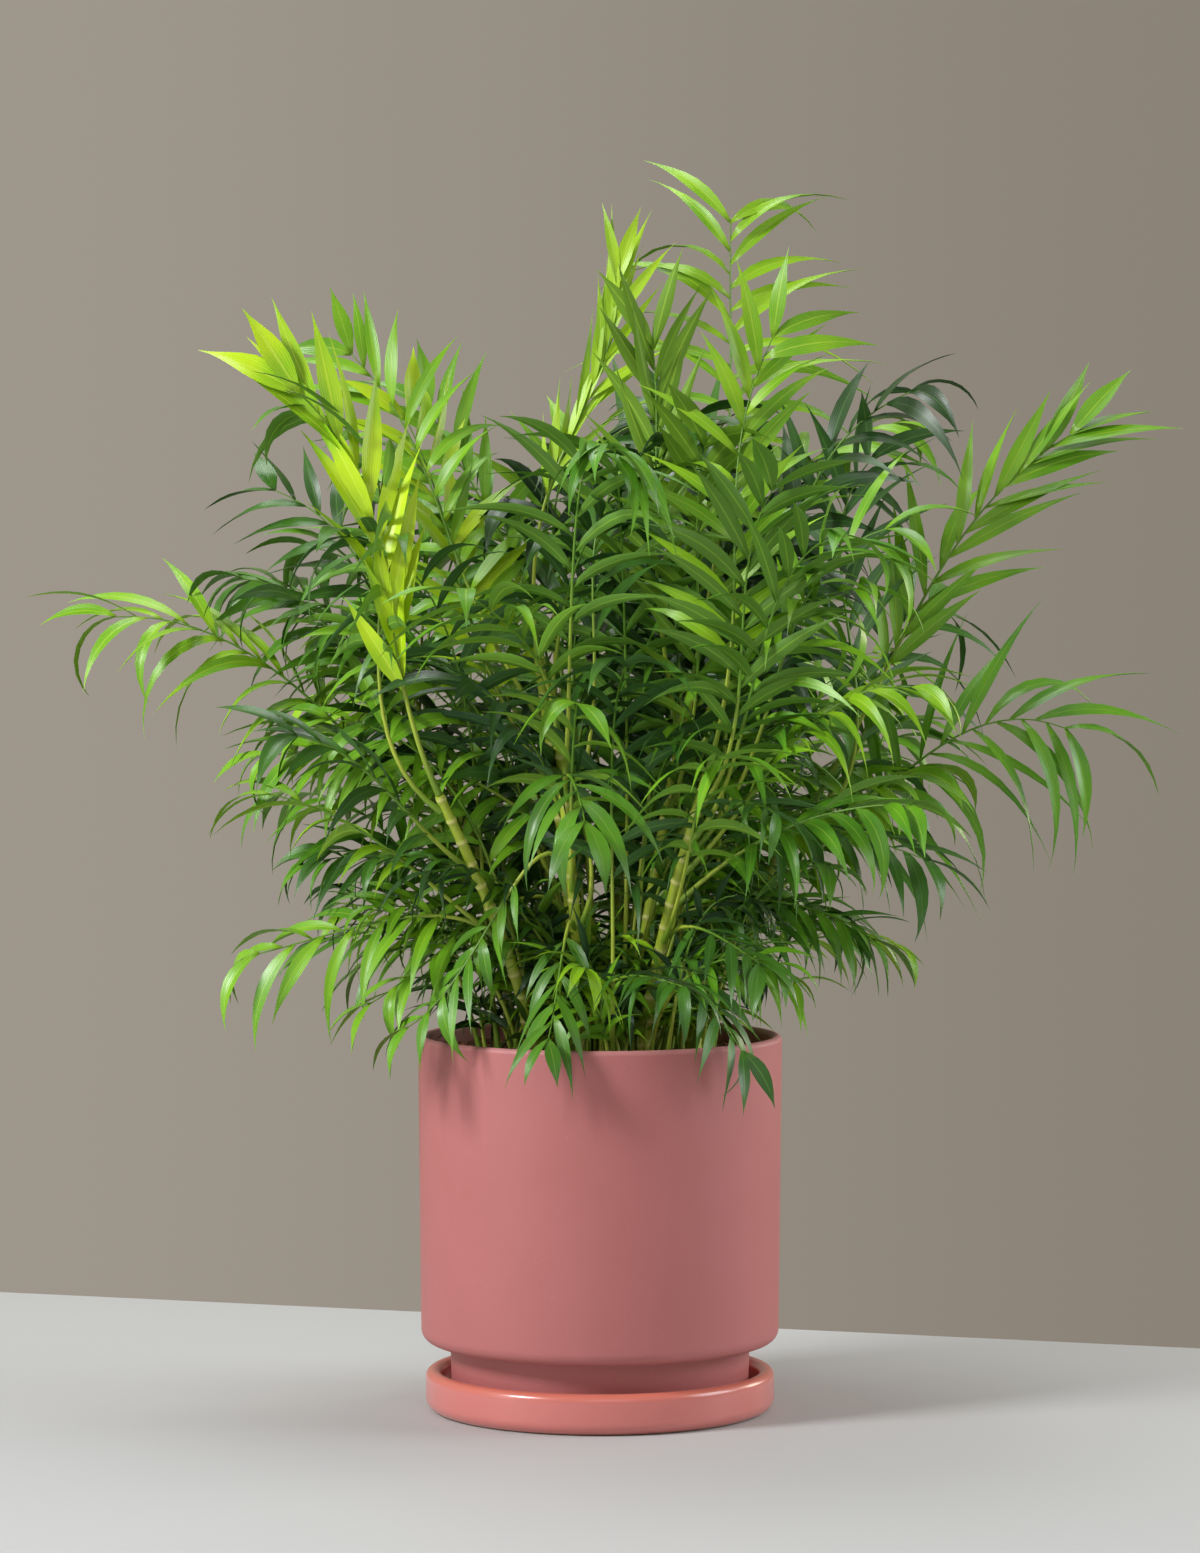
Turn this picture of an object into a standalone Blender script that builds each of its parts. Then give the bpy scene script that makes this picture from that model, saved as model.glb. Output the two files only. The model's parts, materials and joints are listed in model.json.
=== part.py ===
"""Parlour palm in a round pot on its saucer, at real size, in metres, with +Z up.

The origin is the middle of the saucer's flat underside. The photograph looks along +Y, so
-X is the palm's left. Many thin canes stand in one clump, each carries a few fronds, and
each frond is one thin blade cut to the rib between its leaflets.
"""

import math
import random
from typing import NamedTuple

import bmesh
import bpy
import numpy as np
from mathutils import Matrix, Vector
from mathutils.bvhtree import BVHTree

UP = Vector((0.0, 0.0, 1.0))
SEAT_GAP = 0.0003

# Saucer
SAUCER_RADIUS = 0.120
SAUCER_HEIGHT = 0.028
SAUCER_WALL = 0.011
SAUCER_FLOOR = 0.010
SAUCER_CHAMFER = 0.009

# Pot: a wide cylinder over a narrower foot
POT_RADIUS = 0.125
POT_RADIUS_LOW = 0.123
POT_BOTTOM = SAUCER_FLOOR + SEAT_GAP
POT_SHOULDER = 0.047
POT_RIM = 0.258
POT_WALL = 0.007
POT_FOOT_RADIUS = 0.103
POT_EDGE_ROUND = 0.009
POT_FLOOR = 0.020
TURNED_STEPS = 36

# Potting mix: flat where the canes stand
MIX_TOP = 0.246
MIX_EDGE_DROP = 0.003

# Canes
CANE_COUNT = 10
CANE_FIRST_TURN = math.radians(200.0)
GOLDEN_TURN = math.radians(137.508)
CLUMP_RADIUS = 0.066
CANE_TALL, CANE_SHORT = 0.30, 0.17
CANE_LEAN_MIDDLE, CANE_LEAN_EDGE = 0.014, 0.085
CANE_LEAN_POWER = 1.3
CANE_FOOT_RADIUS, CANE_TIP_RADIUS = 0.0044, 0.0030
ROOT_FLARE, ROOT_FLARE_HEIGHT = 1.4, 0.012
CANE_RINGS = 6
CANE_TOP = 0.999
LOWEST_FROND_AT = 0.30

# How the fronds are shared out: a frond looks for a cane this share of its reach out, and each
# frond that a cane already carries counts as so much further away
AIM_SHARE = 0.45
CROWDING = 0.014

# Ribs
BLADE = 0.0012
PETIOLE_WIDTH, RIB_TIP_WIDTH = 0.0034, 0.0018
PETIOLE_STEPS = 4
RIB_SAMPLES = 24
RIB_HANDLE_LOW, RIB_HANDLE_HIGH = 0.60, 0.36
SIDE_LEAVE = 0.55
RIB_CLEAR = 0.0056
MOST_TURNS = 40
TURN_STEP = math.radians(1.6)

# Leaflets: fewer here than on the real fronds, so each is broader than life
LEAF_BROADER = 1.7
LEAF_ROOT = 0.006
LEAF_WIDEST_AT = 0.42
LEAF_SHORTEST = 0.66
LEAF_SWELL_FROM, LEAF_SWELL = 0.15, 0.70
LEAF_NARROW, LEAF_WIDE = 0.9, 1.1
END_OPEN = 0.62

# A leaflet that touches something is tried again shorter or hung lower: (size, extra sag)
LEAF_TRIES = ((1.0, 0.0), (1.0, 0.25), (0.9, -0.2), (0.85, 0.5), (0.72, 0.1), (0.6, -0.1), (0.5, 0.3))
LEAF_MARGIN = 0.0007
PLACED_MARGIN = 0.0001
ROOT_INSET = 0.003
CANE_MARGIN = 0.0004
RIB_MARGIN = 0.0003
SLEEVE_CORNER = 1.3

# Where the tiers' fronds stand, and how much they differ
SEED = 11
FILL_ARC = math.radians(290.0)
FILL_MIDDLE = math.radians(90.0)
PITCH_SPREAD, LEAF_SPREAD, SAG_SPREAD = 10.0, 0.12, 0.15
WINDOW = Vector((0.0, -1.0, 0.0))
TURNED_AWAY = -0.5
MM = 0.001


class Habit(NamedTuple):
    """How one frond grows: its rib's bend, then its leaflets."""

    rise: float  # share of the rib's length that leaves along the cane
    pitch: float  # degrees above level at the rib's tip
    petiole: float  # bare share of the rib
    pairs: int
    leaf_mm: float  # longest leaflet
    width_mm: float  # widest leaflet
    open: float  # degrees between rib and leaflet at the lowest pair
    lift: float  # degrees that the leaflets stand above the blade's plane
    sag: float  # how far the leaflets' tips hang
    tint: str
    faced: float  # how far the blade is turned to the window, 0 to 1


class Leader(NamedTuple):
    """A frond that makes the crown's outline: where its rib ends, and its habit."""

    name: str
    tip: tuple
    habit: Habit


class Tier(NamedTuple):
    """Fronds of one age, set round the clump by the golden angle."""

    name: str
    count: int
    reach: tuple
    height: tuple
    habit: Habit


LEADERS = (
    Leader("far_left", (-0.330, -0.02, 0.545), Habit(0.5, -3, 0.24, 9, 88, 13, 56, 8, 0.85, "fresh", 0.4)),
    Leader("lime_left", (-0.200, -0.10, 0.694), Habit(0.7, 42, 0.26, 8, 104, 17, 24, 8, 0.0, "lime", 0.9)),
    Leader("high_left", (-0.172, 0.04, 0.726), Habit(0.8, 44, 0.28, 8, 74, 12, 48, 10, 0.10, "fresh", 1.0)),
    Leader("dark_left", (-0.226, 0.05, 0.632), Habit(0.7, 20, 0.26, 8, 70, 13, 54, 10, 0.35, "dark", 0.7)),
    Leader("crown_left", (-0.120, 0.09, 0.690), Habit(0.8, 62, 0.28, 8, 78, 13, 46, 10, 0.10, "mid", 0.9)),
    Leader("top", (0.090, 0.03, 0.816), Habit(0.9, 88, 0.30, 9, 96, 10.5, 64, 8, 0.50, "fresh", 1.0)),
    Leader("pale_spear", (0.012, -0.01, 0.770), Habit(0.9, 88, 0.42, 6, 78, 9, 18, 4, 0.0, "lime", 1.0)),
    Leader("green_spear", (0.036, -0.04, 0.726), Habit(0.9, 84, 0.30, 8, 92, 12, 34, 6, 0.0, "fresh", 1.0)),
    Leader("bright_right", (0.114, -0.12, 0.73), Habit(0.8, 62, 0.28, 8, 82, 13, 48, 8, 0.05, "fresh", 1.0)),
    Leader("high_right", (0.324, 0.02, 0.670), Habit(0.55, 30, 0.32, 9, 86, 14, 38, 12, 0.0, "fresh", 0.9)),
    Leader("fish_tail", (0.208, -0.07, 0.696), Habit(0.8, 22, 0.26, 8, 88, 15, 50, 6, 0.75, "dark", 0.5)),
    Leader("far_right", (0.314, -0.05, 0.470), Habit(0.55, -22, 0.26, 9, 96, 12, 60, 0, 1.25, "mid", 0.5)),
    Leader("lime_right", (0.205, -0.15, 0.500), Habit(0.6, -6, 0.26, 8, 80, 11, 50, 4, 0.55, "fresh", 0.3)),
    Leader("low_right", (0.215, -0.11, 0.385), Habit(0.55, -18, 0.24, 8, 78, 12, 52, 0, 0.55, "dark", 0.3)),
    Leader("hang_right", (0.182, -0.08, 0.33), Habit(0.5, -34, 0.24, 8, 70, 11, 52, -4, 0.60, "deep", 0.3)),
    Leader("low_left", (-0.230, -0.06, 0.318), Habit(0.5, -14, 0.24, 8, 80, 12, 52, 0, 0.60, "mid", 0.5)),
    Leader("lower_left", (-0.184, -0.01, 0.384), Habit(0.5, -6, 0.24, 8, 66, 11, 52, 4, 0.50, "deep", 0.4)),
    Leader("rim_left", (-0.128, -0.10, 0.272), Habit(0.5, -28, 0.28, 7, 46, 8, 50, 4, 0.40, "mid", 0.3)),
    Leader("mid_left", (-0.220, -0.05, 0.452), Habit(0.55, -8, 0.24, 8, 76, 12, 54, 0, 0.60, "mid", 0.5)),
    Leader("rim_front", (-0.034, -0.140, 0.268), Habit(0.5, -38, 0.28, 7, 44, 8, 50, 4, 0.40, "deep", 0.2)),
    Leader("rim_right", (0.094, -0.122, 0.258), Habit(0.5, -44, 0.28, 7, 44, 8, 50, 4, 0.40, "deep", 0.2)),
    Leader("front_right", (0.112, -0.17, 0.628), Habit(0.7, 40, 0.26, 8, 84, 13, 50, 6, 0.35, "mid", 0.6)),
    Leader("front_left", (-0.085, -0.18, 0.560), Habit(0.7, 22, 0.26, 8, 90, 13, 52, 6, 0.55, "mid", 0.5)),
    Leader("hang_front", (-0.01, -0.21, 0.415), Habit(0.6, -26, 0.26, 8, 88, 14, 52, 0, 0.60, "deep", 0.0)),
)

TIERS = (
    Tier("skirt", 7, (0.165, 0.205), (0.285, 0.345), Habit(0.5, -26, 0.26, 7, 62, 11, 52, 2, 0.5, "deep", 0.2)),
    Tier("middle", 11, (0.225, 0.275), (0.4, 0.6), Habit(0.6, 2, 0.24, 8, 82, 13, 54, 4, 0.5, "mid", 0.3)),
    Tier("upper", 5, (0.1, 0.2), (0.63, 0.74), Habit(0.8, 52, 0.26, 8, 84, 13, 50, 14, 0.25, "fresh", 0.5)),
)
TIER_TINTS = {
    "skirt": ("deep", "dark", "mid"),
    "middle": ("mid", "dark", "deep", "fresh"),
    "upper": ("fresh", "mid", "lime", "deep"),
}

CLAY = (0.52, 0.17, 0.16)
GLAZE = (0.50, 0.14, 0.11)
BARK_MIX = (0.055, 0.024, 0.014)
CANE_GREEN = (0.42, 0.50, 0.05)
TINTS = {
    "lime": (0.40, 0.62, 0.03),
    "fresh": (0.16, 0.42, 0.02),
    "mid": (0.07, 0.28, 0.02),
    "deep": (0.03, 0.18, 0.025),
    "dark": (0.015, 0.11, 0.02),
}


class Cane(NamedTuple):
    """One stem: its axis from foot to tip and its radius at each point."""

    name: str
    axis: list
    radii: list


class Frond(NamedTuple):
    """One frond's rib from foot to tip, its level side, and the side that its leaflets spread to."""

    name: str
    rib: np.ndarray
    side: Vector
    fan: Vector
    habit: Habit


def material(name, colour, roughness):
    """A Principled material in one colour."""
    made = bpy.data.materials.new(name)
    made.use_nodes = True
    shader = made.node_tree.nodes["Principled BSDF"]
    shader.inputs["Base Color"].default_value = (*colour, 1.0)
    shader.inputs["Roughness"].default_value = roughness
    shader.inputs["Metallic"].default_value = 0.0
    made.diffuse_color = (*colour, 1.0)
    return made


def new_object(name, data, finish, collection):
    """An object in the parts collection that wears one material."""
    made = bpy.data.objects.new(name, data)
    collection.objects.link(made)
    data.materials.append(finish)
    return made


def arc(centre_r, centre_z, radius, start, end, points):
    """Points of an arc in the profile plane, with its angles in degrees from +R towards +Z."""
    turns = [math.radians(start + (end - start) * i / (points - 1)) for i in range(points)]
    return [(centre_r + radius * math.cos(a), centre_z + radius * math.sin(a)) for a in turns]


def turned(name, profile, finish, collection):
    """A solid of revolution from a profile that runs down its outer side."""
    mesh = bpy.data.meshes.new(name)
    points = [(radius, 0.0, height) for radius, height in profile]
    mesh.from_pydata(points, [(i, i + 1) for i in range(len(points) - 1)], [])
    made = new_object(name, mesh, finish, collection)
    screw = made.modifiers.new("Turn", "SCREW")
    screw.steps = screw.render_steps = TURNED_STEPS
    screw.use_merge_vertices = True
    screw.merge_threshold = 0.0001
    screw.use_smooth_shade = True
    return made


def pot_inner_profile():
    """The pot's inner face, from the middle of its floor up to the inner edge of its lip."""
    foot = POT_FOOT_RADIUS - POT_WALL
    return [
        (0.0, POT_FLOOR),
        (foot - 0.006, POT_FLOOR),
        (foot, POT_FLOOR + 0.006),
        (foot, POT_SHOULDER + POT_WALL * 0.5),
        (POT_RADIUS_LOW - POT_WALL - 0.004, POT_SHOULDER + POT_WALL + 0.002),
        (POT_RADIUS_LOW - POT_WALL, POT_SHOULDER + POT_WALL + 0.007),
        (POT_RADIUS - POT_WALL, POT_RIM - POT_WALL / 2),
    ]


def pot_profile():
    """Up the inside, over the rounded lip, down the outside, in to the foot and its flat base."""
    lip = arc(POT_RADIUS - POT_WALL / 2, POT_RIM - POT_WALL / 2, POT_WALL / 2, 180, 0, 6)
    edge = arc(POT_RADIUS_LOW - POT_EDGE_ROUND, POT_SHOULDER + POT_EDGE_ROUND, POT_EDGE_ROUND, 0, -90, 4)
    foot = [
        (POT_FOOT_RADIUS + 0.002, POT_SHOULDER),
        (POT_FOOT_RADIUS, POT_SHOULDER - 0.002),
        (POT_FOOT_RADIUS - 0.001, POT_BOTTOM + 0.002),
        (POT_FOOT_RADIUS - 0.003, POT_BOTTOM),
        (0.0, POT_BOTTOM),
    ]
    return pot_inner_profile()[:-1] + lip + edge + foot


def saucer_profile():
    """From the floor up to the rounded rim, down the outside and under to the flat base."""
    rim_round = SAUCER_WALL / 2
    inner = SAUCER_RADIUS - SAUCER_WALL
    rim = arc(SAUCER_RADIUS - rim_round, SAUCER_HEIGHT - rim_round, rim_round, 180, 0, 6)
    return [
        (0.0, SAUCER_FLOOR),
        (inner - 0.003, SAUCER_FLOOR),
        (inner, SAUCER_FLOOR + 0.003),
        *rim,
        (SAUCER_RADIUS, SAUCER_CHAMFER),
        (SAUCER_RADIUS - 0.003, SAUCER_CHAMFER * 0.4),
        (SAUCER_RADIUS - SAUCER_CHAMFER, 0.0),
        (0.0, 0.0),
    ]


def mix_profile():
    """The potting mix, a seat gap clear of the pot's inner face, up to its nearly level top."""
    low = pot_inner_profile()[:-1]
    climb = (MIX_TOP - MIX_EDGE_DROP - low[-1][1]) / (POT_RIM - POT_WALL / 2 - low[-1][1])
    edge_radius = low[-1][0] + climb * (POT_RADIUS - POT_RADIUS_LOW)
    wall = [(radius - SEAT_GAP, height + SEAT_GAP) for radius, height in reversed(low[1:])]
    return [
        (0.0, MIX_TOP),
        (edge_radius - 0.014, MIX_TOP),
        (edge_radius - SEAT_GAP, MIX_TOP - MIX_EDGE_DROP),
        *wall,
        (0.0, POT_FLOOR + SEAT_GAP),
    ]


def level(turn):
    """The level unit vector at an angle from +X towards +Y."""
    return Vector((math.cos(turn), math.sin(turn), 0.0))


def blend(low, high, share):
    """The value that lies a share of the way from low to high."""
    return low + (high - low) * share


def grow_canes():
    """The canes, set out in a spiral clump, the outer ones shorter and leaning further out."""
    canes = []
    for i in range(CANE_COUNT):
        outward = level(CANE_FIRST_TURN + i * GOLDEN_TURN)
        spread = math.sqrt((i + 0.5) / CANE_COUNT)
        foot = outward * CLUMP_RADIUS * spread + UP * (MIX_TOP + SEAT_GAP)
        height = blend(CANE_TALL, CANE_SHORT, spread)
        lean = blend(CANE_LEAN_MIDDLE, CANE_LEAN_EDGE, spread)
        axis = [foot, foot + UP * ROOT_FLARE_HEIGHT]
        radii = [CANE_FOOT_RADIUS * ROOT_FLARE, CANE_FOOT_RADIUS]
        for k in range(1, CANE_RINGS):
            share = k / (CANE_RINGS - 1)
            rise = UP * (ROOT_FLARE_HEIGHT + (height - ROOT_FLARE_HEIGHT) * share)
            axis.append(foot + rise + outward * lean * share**CANE_LEAN_POWER)
            radii.append(blend(CANE_FOOT_RADIUS, CANE_TIP_RADIUS, share))
        canes.append(Cane(f"cane_{i + 1:02d}", axis, radii))
    return canes


def cane_at(cane, share):
    """A point on a cane's axis, its direction there and its radius, at a share of its height."""
    place = share * (len(cane.axis) - 1)
    i = min(int(place), len(cane.axis) - 2)
    low, high = cane.axis[i], cane.axis[i + 1]
    radius = blend(cane.radii[i], cane.radii[i + 1], place - i)
    return low.lerp(high, place - i), (high - low).normalized(), radius


def planned_fronds():
    """Every frond's name, tip and habit: the leaders, then each tier round the rest of the clump."""
    draw = random.Random(SEED)
    plans = [(f"frond_{leader.name}", Vector(leader.tip), leader.habit) for leader in LEADERS]
    for tier in TIERS:
        for k in range(tier.count):
            around = (k * GOLDEN_TURN / math.tau) % 1.0 - 0.5
            outward = level(FILL_MIDDLE + FILL_ARC * around)
            reach = draw.uniform(*tier.reach)
            height = draw.uniform(*tier.height)
            habit = tier.habit._replace(
                pitch=tier.habit.pitch + draw.uniform(-PITCH_SPREAD, PITCH_SPREAD),
                leaf_mm=tier.habit.leaf_mm * draw.uniform(1 - LEAF_SPREAD, 1 + LEAF_SPREAD),
                sag=tier.habit.sag + draw.uniform(-SAG_SPREAD, SAG_SPREAD),
                tint=TIER_TINTS[tier.name][k % len(TIER_TINTS[tier.name])],
            )
            plans.append((f"frond_{tier.name}_{k + 1:02d}", outward * reach + UP * height, habit))
    return plans


def share_out(plans, canes):
    """For each plan, its cane and the share of the cane's height where the frond leaves it."""
    load = [0] * len(canes)
    chosen = []
    for _, tip, _ in plans:
        aim = Vector((tip.x, tip.y, 0.0)) * AIM_SHARE

        def cost(i):
            top = canes[i].axis[-1]
            return (aim - Vector((top.x, top.y, 0.0))).length + CROWDING * load[i]

        best = min(range(len(canes)), key=cost)
        load[best] += 1
        chosen.append(best)
    places = [0.0] * len(plans)
    for i in range(len(canes)):
        own = sorted((k for k in range(len(plans)) if chosen[k] == i), key=lambda k: plans[k][1].z)
        for order, k in enumerate(own):
            places[k] = blend(LOWEST_FROND_AT, 1.0, (order + 1) / len(own))
    return list(zip(chosen, places))


def rib_curve(start, leave, tip, habit):
    """A rib's points, evenly spaced: a Bezier curve that leaves along the cane and ends at its pitch."""
    flat = Vector((tip.x - start.x, tip.y - start.y, 0.0)).normalized()
    pitch = math.radians(habit.pitch)
    end = flat * math.cos(pitch) + UP * math.sin(pitch)
    length = (tip - start).length
    low_handle = start + leave * length * habit.rise * RIB_HANDLE_LOW
    high_handle = tip - end * length * RIB_HANDLE_HIGH
    knots = [np.array(point) for point in (start, low_handle, high_handle, tip)]
    t = np.linspace(0.0, 1.0, 4 * RIB_SAMPLES)[:, None]
    fine = (
        (1 - t) ** 3 * knots[0]
        + 3 * t * (1 - t) ** 2 * knots[1]
        + 3 * t**2 * (1 - t) * knots[2]
        + t**3 * knots[3]
    )
    run = np.concatenate([[0.0], np.cumsum(np.linalg.norm(np.diff(fine, axis=0), axis=1))])
    even = np.linspace(0.0, run[-1], RIB_SAMPLES)
    return np.stack([np.interp(even, run, fine[:, k]) for k in range(3)], axis=1)


def gap_between(a, b):
    """The smallest distance between two chains of points."""
    p, u = a[:-1, None], (a[1:] - a[:-1])[:, None]
    q, v = b[None, :-1], (b[1:] - b[:-1])[None]
    w = p - q
    uu, vv, uv = (u * u).sum(-1), (v * v).sum(-1), (u * v).sum(-1)
    uw, vw = (u * w).sum(-1), (v * w).sum(-1)
    s = np.clip((uv * vw - vv * uw) / np.maximum(uu * vv - uv * uv, 1e-18), 0.0, 1.0)
    t = np.clip((vw + s * uv) / vv, 0.0, 1.0)
    s = np.clip((t * uv - uw) / uu, 0.0, 1.0)
    return float(np.sqrt(((w + s[..., None] * u - t[..., None] * v) ** 2).sum(-1)).min())


def fan_of(rib, side, habit):
    """The side a frond's leaflets spread to, turned from its level side so that it faces the window."""
    lit = Vector(rib[-1] - rib[0]).normalized().cross(WINDOW).normalized()
    if lit.dot(side) < TURNED_AWAY:
        lit = -lit
    return side.lerp(lit, habit.faced).normalized()


def grow_frond(name, tip, habit, cane, place, turn):
    """One frond on its cane, with its tip turned about the foot of its stalk to find room."""
    centre, along, radius = cane_at(cane, place)
    aim = Matrix.Rotation(turn, 3, "Z") @ (tip - centre) + centre
    flat = Vector((aim.x - centre.x, aim.y - centre.y, 0.0)).normalized()
    side = flat.cross(UP).normalized()
    if place > CANE_TOP:
        start, leave = centre + along * (SEAT_GAP + BLADE / 4), along
    else:
        off = (flat - along * flat.dot(along)).normalized()
        start = centre + off * (radius + SEAT_GAP + BLADE / 2)
        leave = (along + off * SIDE_LEAVE).normalized()
    rib = rib_curve(start, leave, aim, habit)
    return Frond(name, rib, side, fan_of(rib, side, habit), habit)


def grow_fronds(canes):
    """All fronds, each turned as little as it takes to keep its rib clear of the others."""
    plans = planned_fronds()
    axes = [np.array(cane.axis) for cane in canes]
    fronds, ribs = [], []
    for (name, tip, habit), (index, place) in zip(plans, share_out(plans, canes)):
        best, best_gap = None, -1.0
        for k in range(MOST_TURNS):
            turn = TURN_STEP * ((k + 1) // 2) * (1 if k % 2 else -1)
            frond = grow_frond(name, tip, habit, canes[index], place, turn)
            others = [gap_between(frond.rib, rib) for rib in ribs]
            others += [gap_between(frond.rib, axis) for i, axis in enumerate(axes) if i != index]
            gap = min(others)
            if gap > best_gap:
                best, best_gap = frond, gap
            if gap > RIB_CLEAR:
                break
        fronds.append(best)
        ribs.append(best.rib)
    return fronds


class Leaf(NamedTuple):
    """A leaflet's five corners: its root's two ends, its two widest points and its tip."""

    root_low: Vector
    root_high: Vector
    wide_low: Vector
    wide_high: Vector
    tip: Vector


def rib_point(frond, share):
    """A point on a frond's rib and the rib's direction there, at a share of its length."""
    place = min(max(share, 0.0), 1.0) * (RIB_SAMPLES - 1)
    i = min(int(place), RIB_SAMPLES - 2)
    low, high = Vector(frond.rib[i]), Vector(frond.rib[i + 1])
    return low.lerp(high, place - i), (high - low).normalized()


def side_at(frond, share, tangent):
    """The blade's side direction, which turns along the stalk from level to the way the leaflets spread."""
    side = frond.side.lerp(frond.fan, min(share / frond.habit.petiole, 1.0))
    return (side - tangent * side.dot(tangent)).normalized()


def rib_length(frond):
    """The length of a frond's rib."""
    return float(np.linalg.norm(np.diff(frond.rib, axis=0), axis=1).sum())


def rib_width(share):
    """A rib's width at a share of its length."""
    return blend(PETIOLE_WIDTH, RIB_TIP_WIDTH, share)


def leaf_stations(frond):
    """The shares of the rib's length where each pair of leaflets starts and ends."""
    habit = frond.habit
    root = LEAF_ROOT / rib_length(frond)
    first, last = habit.petiole, 1.0 - root
    starts = [blend(first, last, k / (habit.pairs - 1)) for k in range(habit.pairs)]
    return [(start, start + root) for start in starts]


def leaf_at(frond, low, high, way, squeeze=1.0, extra_sag=0.0, grow=0.0):
    """The leaflet on one side (way -1 or 1) of a leaf station; grow widens it for a clearance test."""
    habit = frond.habit
    up = (low - habit.petiole) / (1.0 - habit.petiole)
    a, _ = rib_point(frond, low)
    b, tangent = rib_point(frond, high)
    side = side_at(frond, high, tangent)
    face = side.cross(tangent)
    root_low = a + side * (way * rib_width(low) / 2)
    root_high = b + side * (way * rib_width(high) / 2)
    root = (root_low + root_high) / 2
    spread = math.radians(blend(habit.open, habit.open * END_OPEN, up))
    lift = math.radians(habit.lift)
    outward = side * (way * math.cos(lift)) + face * math.sin(lift)
    leave = tangent * math.cos(spread) + outward * math.sin(spread)
    swell = math.sin(math.pi * (LEAF_SWELL_FROM + LEAF_SWELL * up))
    length = habit.leaf_mm * MM * squeeze * blend(LEAF_SHORTEST, 1.0, swell)
    width = habit.width_mm * MM * LEAF_BROADER * blend(LEAF_NARROW, LEAF_WIDE, up) * squeeze**0.5
    across = (tangent - leave * tangent.dot(leave)).normalized()
    hang = (leave - UP * (habit.sag + extra_sag)).normalized()
    middle = root + leave * length * LEAF_WIDEST_AT
    half = across * (width / 2 + grow)
    tip = middle + hang * (length * (1 - LEAF_WIDEST_AT) + grow)
    if grow:
        root_low, root_high = root_low + leave * ROOT_INSET, root_high + leave * ROOT_INSET
    return Leaf(root_low, root_high, middle - half, middle + half, tip)


def plate(leaf, half):
    """A closed plate on a leaflet's outline, as vertices and faces, for clearance tests."""
    corners = [leaf.root_low, leaf.wide_low, leaf.tip, leaf.wide_high, leaf.root_high]
    normal = (leaf.wide_high - leaf.wide_low).cross(leaf.wide_low - leaf.root_low).normalized()
    points = [c + normal * half for c in corners] + [c - normal * half for c in corners]
    rim = [(i, (i + 1) % 5, 5 + (i + 1) % 5, 5 + i) for i in range(5)]
    return points, [(0, 1, 3, 4), (1, 2, 3), (9, 8, 6, 5), (8, 7, 6)] + rim


def sleeve(points, reach):
    """A closed four-sided sleeve round a chain of points, for clearance tests."""
    corners = []
    for i, point in enumerate(points):
        ahead = Vector(points[min(i + 1, len(points) - 1)]) - Vector(points[max(i - 1, 0)])
        ahead.normalize()
        across = ahead.orthogonal().normalized()
        other = ahead.cross(across)
        size = reach[i] if isinstance(reach, list) else reach
        corners += [Vector(point) + d * size * SLEEVE_CORNER for d in (across, other, -across, -other)]
    faces = [(3, 2, 1, 0), tuple(range(len(corners) - 4, len(corners)))]
    for i in range(len(points) - 1):
        for k in range(4):
            m = (k + 1) % 4
            faces.append((4 * i + k, 4 * i + m, 4 * i + 4 + m, 4 * i + 4 + k))
    return corners, faces


class Space:
    """The solids placed so far, as search trees with their boxes."""

    def __init__(self):
        self.taken = []

    def add(self, points, faces, owner):
        """Takes a place for an owner."""
        low = Vector([min(p[k] for p in points) for k in range(3)])
        high = Vector([max(p[k] for p in points) for k in range(3)])
        self.taken.append((low, high, BVHTree.FromPolygons(points, faces), owner))

    def free(self, points, faces, owner=None):
        """Whether a shape touches nothing that another owner placed."""
        low = Vector([min(p[k] for p in points) for k in range(3)])
        high = Vector([max(p[k] for p in points) for k in range(3)])
        tree = None
        for other_low, other_high, other, of in self.taken:
            if of == owner or any(low[k] > other_high[k] or high[k] < other_low[k] for k in range(3)):
                continue
            tree = tree or BVHTree.FromPolygons(points, faces)
            if tree.overlap(other):
                return False
        return True


def evaluated_shape(made):
    """An object's evaluated vertices and faces."""
    graph = bpy.context.evaluated_depsgraph_get()
    shown = made.evaluated_get(graph)
    mesh = shown.to_mesh()
    points = [v.co.copy() for v in mesh.vertices]
    faces = [tuple(p.vertices) for p in mesh.polygons]
    shown.to_mesh_clear()
    return points, faces


def choose_leaves(frond, space):
    """The leaflets that find room, keyed by pair and side; one that touches anything is left out."""
    chosen = {}
    for pair, (low, high) in enumerate(leaf_stations(frond)):
        for way in (-1, 1):
            for squeeze, extra_sag in LEAF_TRIES:
                fat = leaf_at(frond, low, high, way, squeeze, extra_sag, grow=LEAF_MARGIN)
                if not space.free(*plate(fat, BLADE / 2 + LEAF_MARGIN), owner=frond.name):
                    continue
                leaf = leaf_at(frond, low, high, way, squeeze, extra_sag)
                chosen[pair, way] = leaf
                space.add(*plate(leaf, BLADE / 2 + PLACED_MARGIN), owner=f"{frond.name} {pair} {way}")
                break
    return chosen


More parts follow.
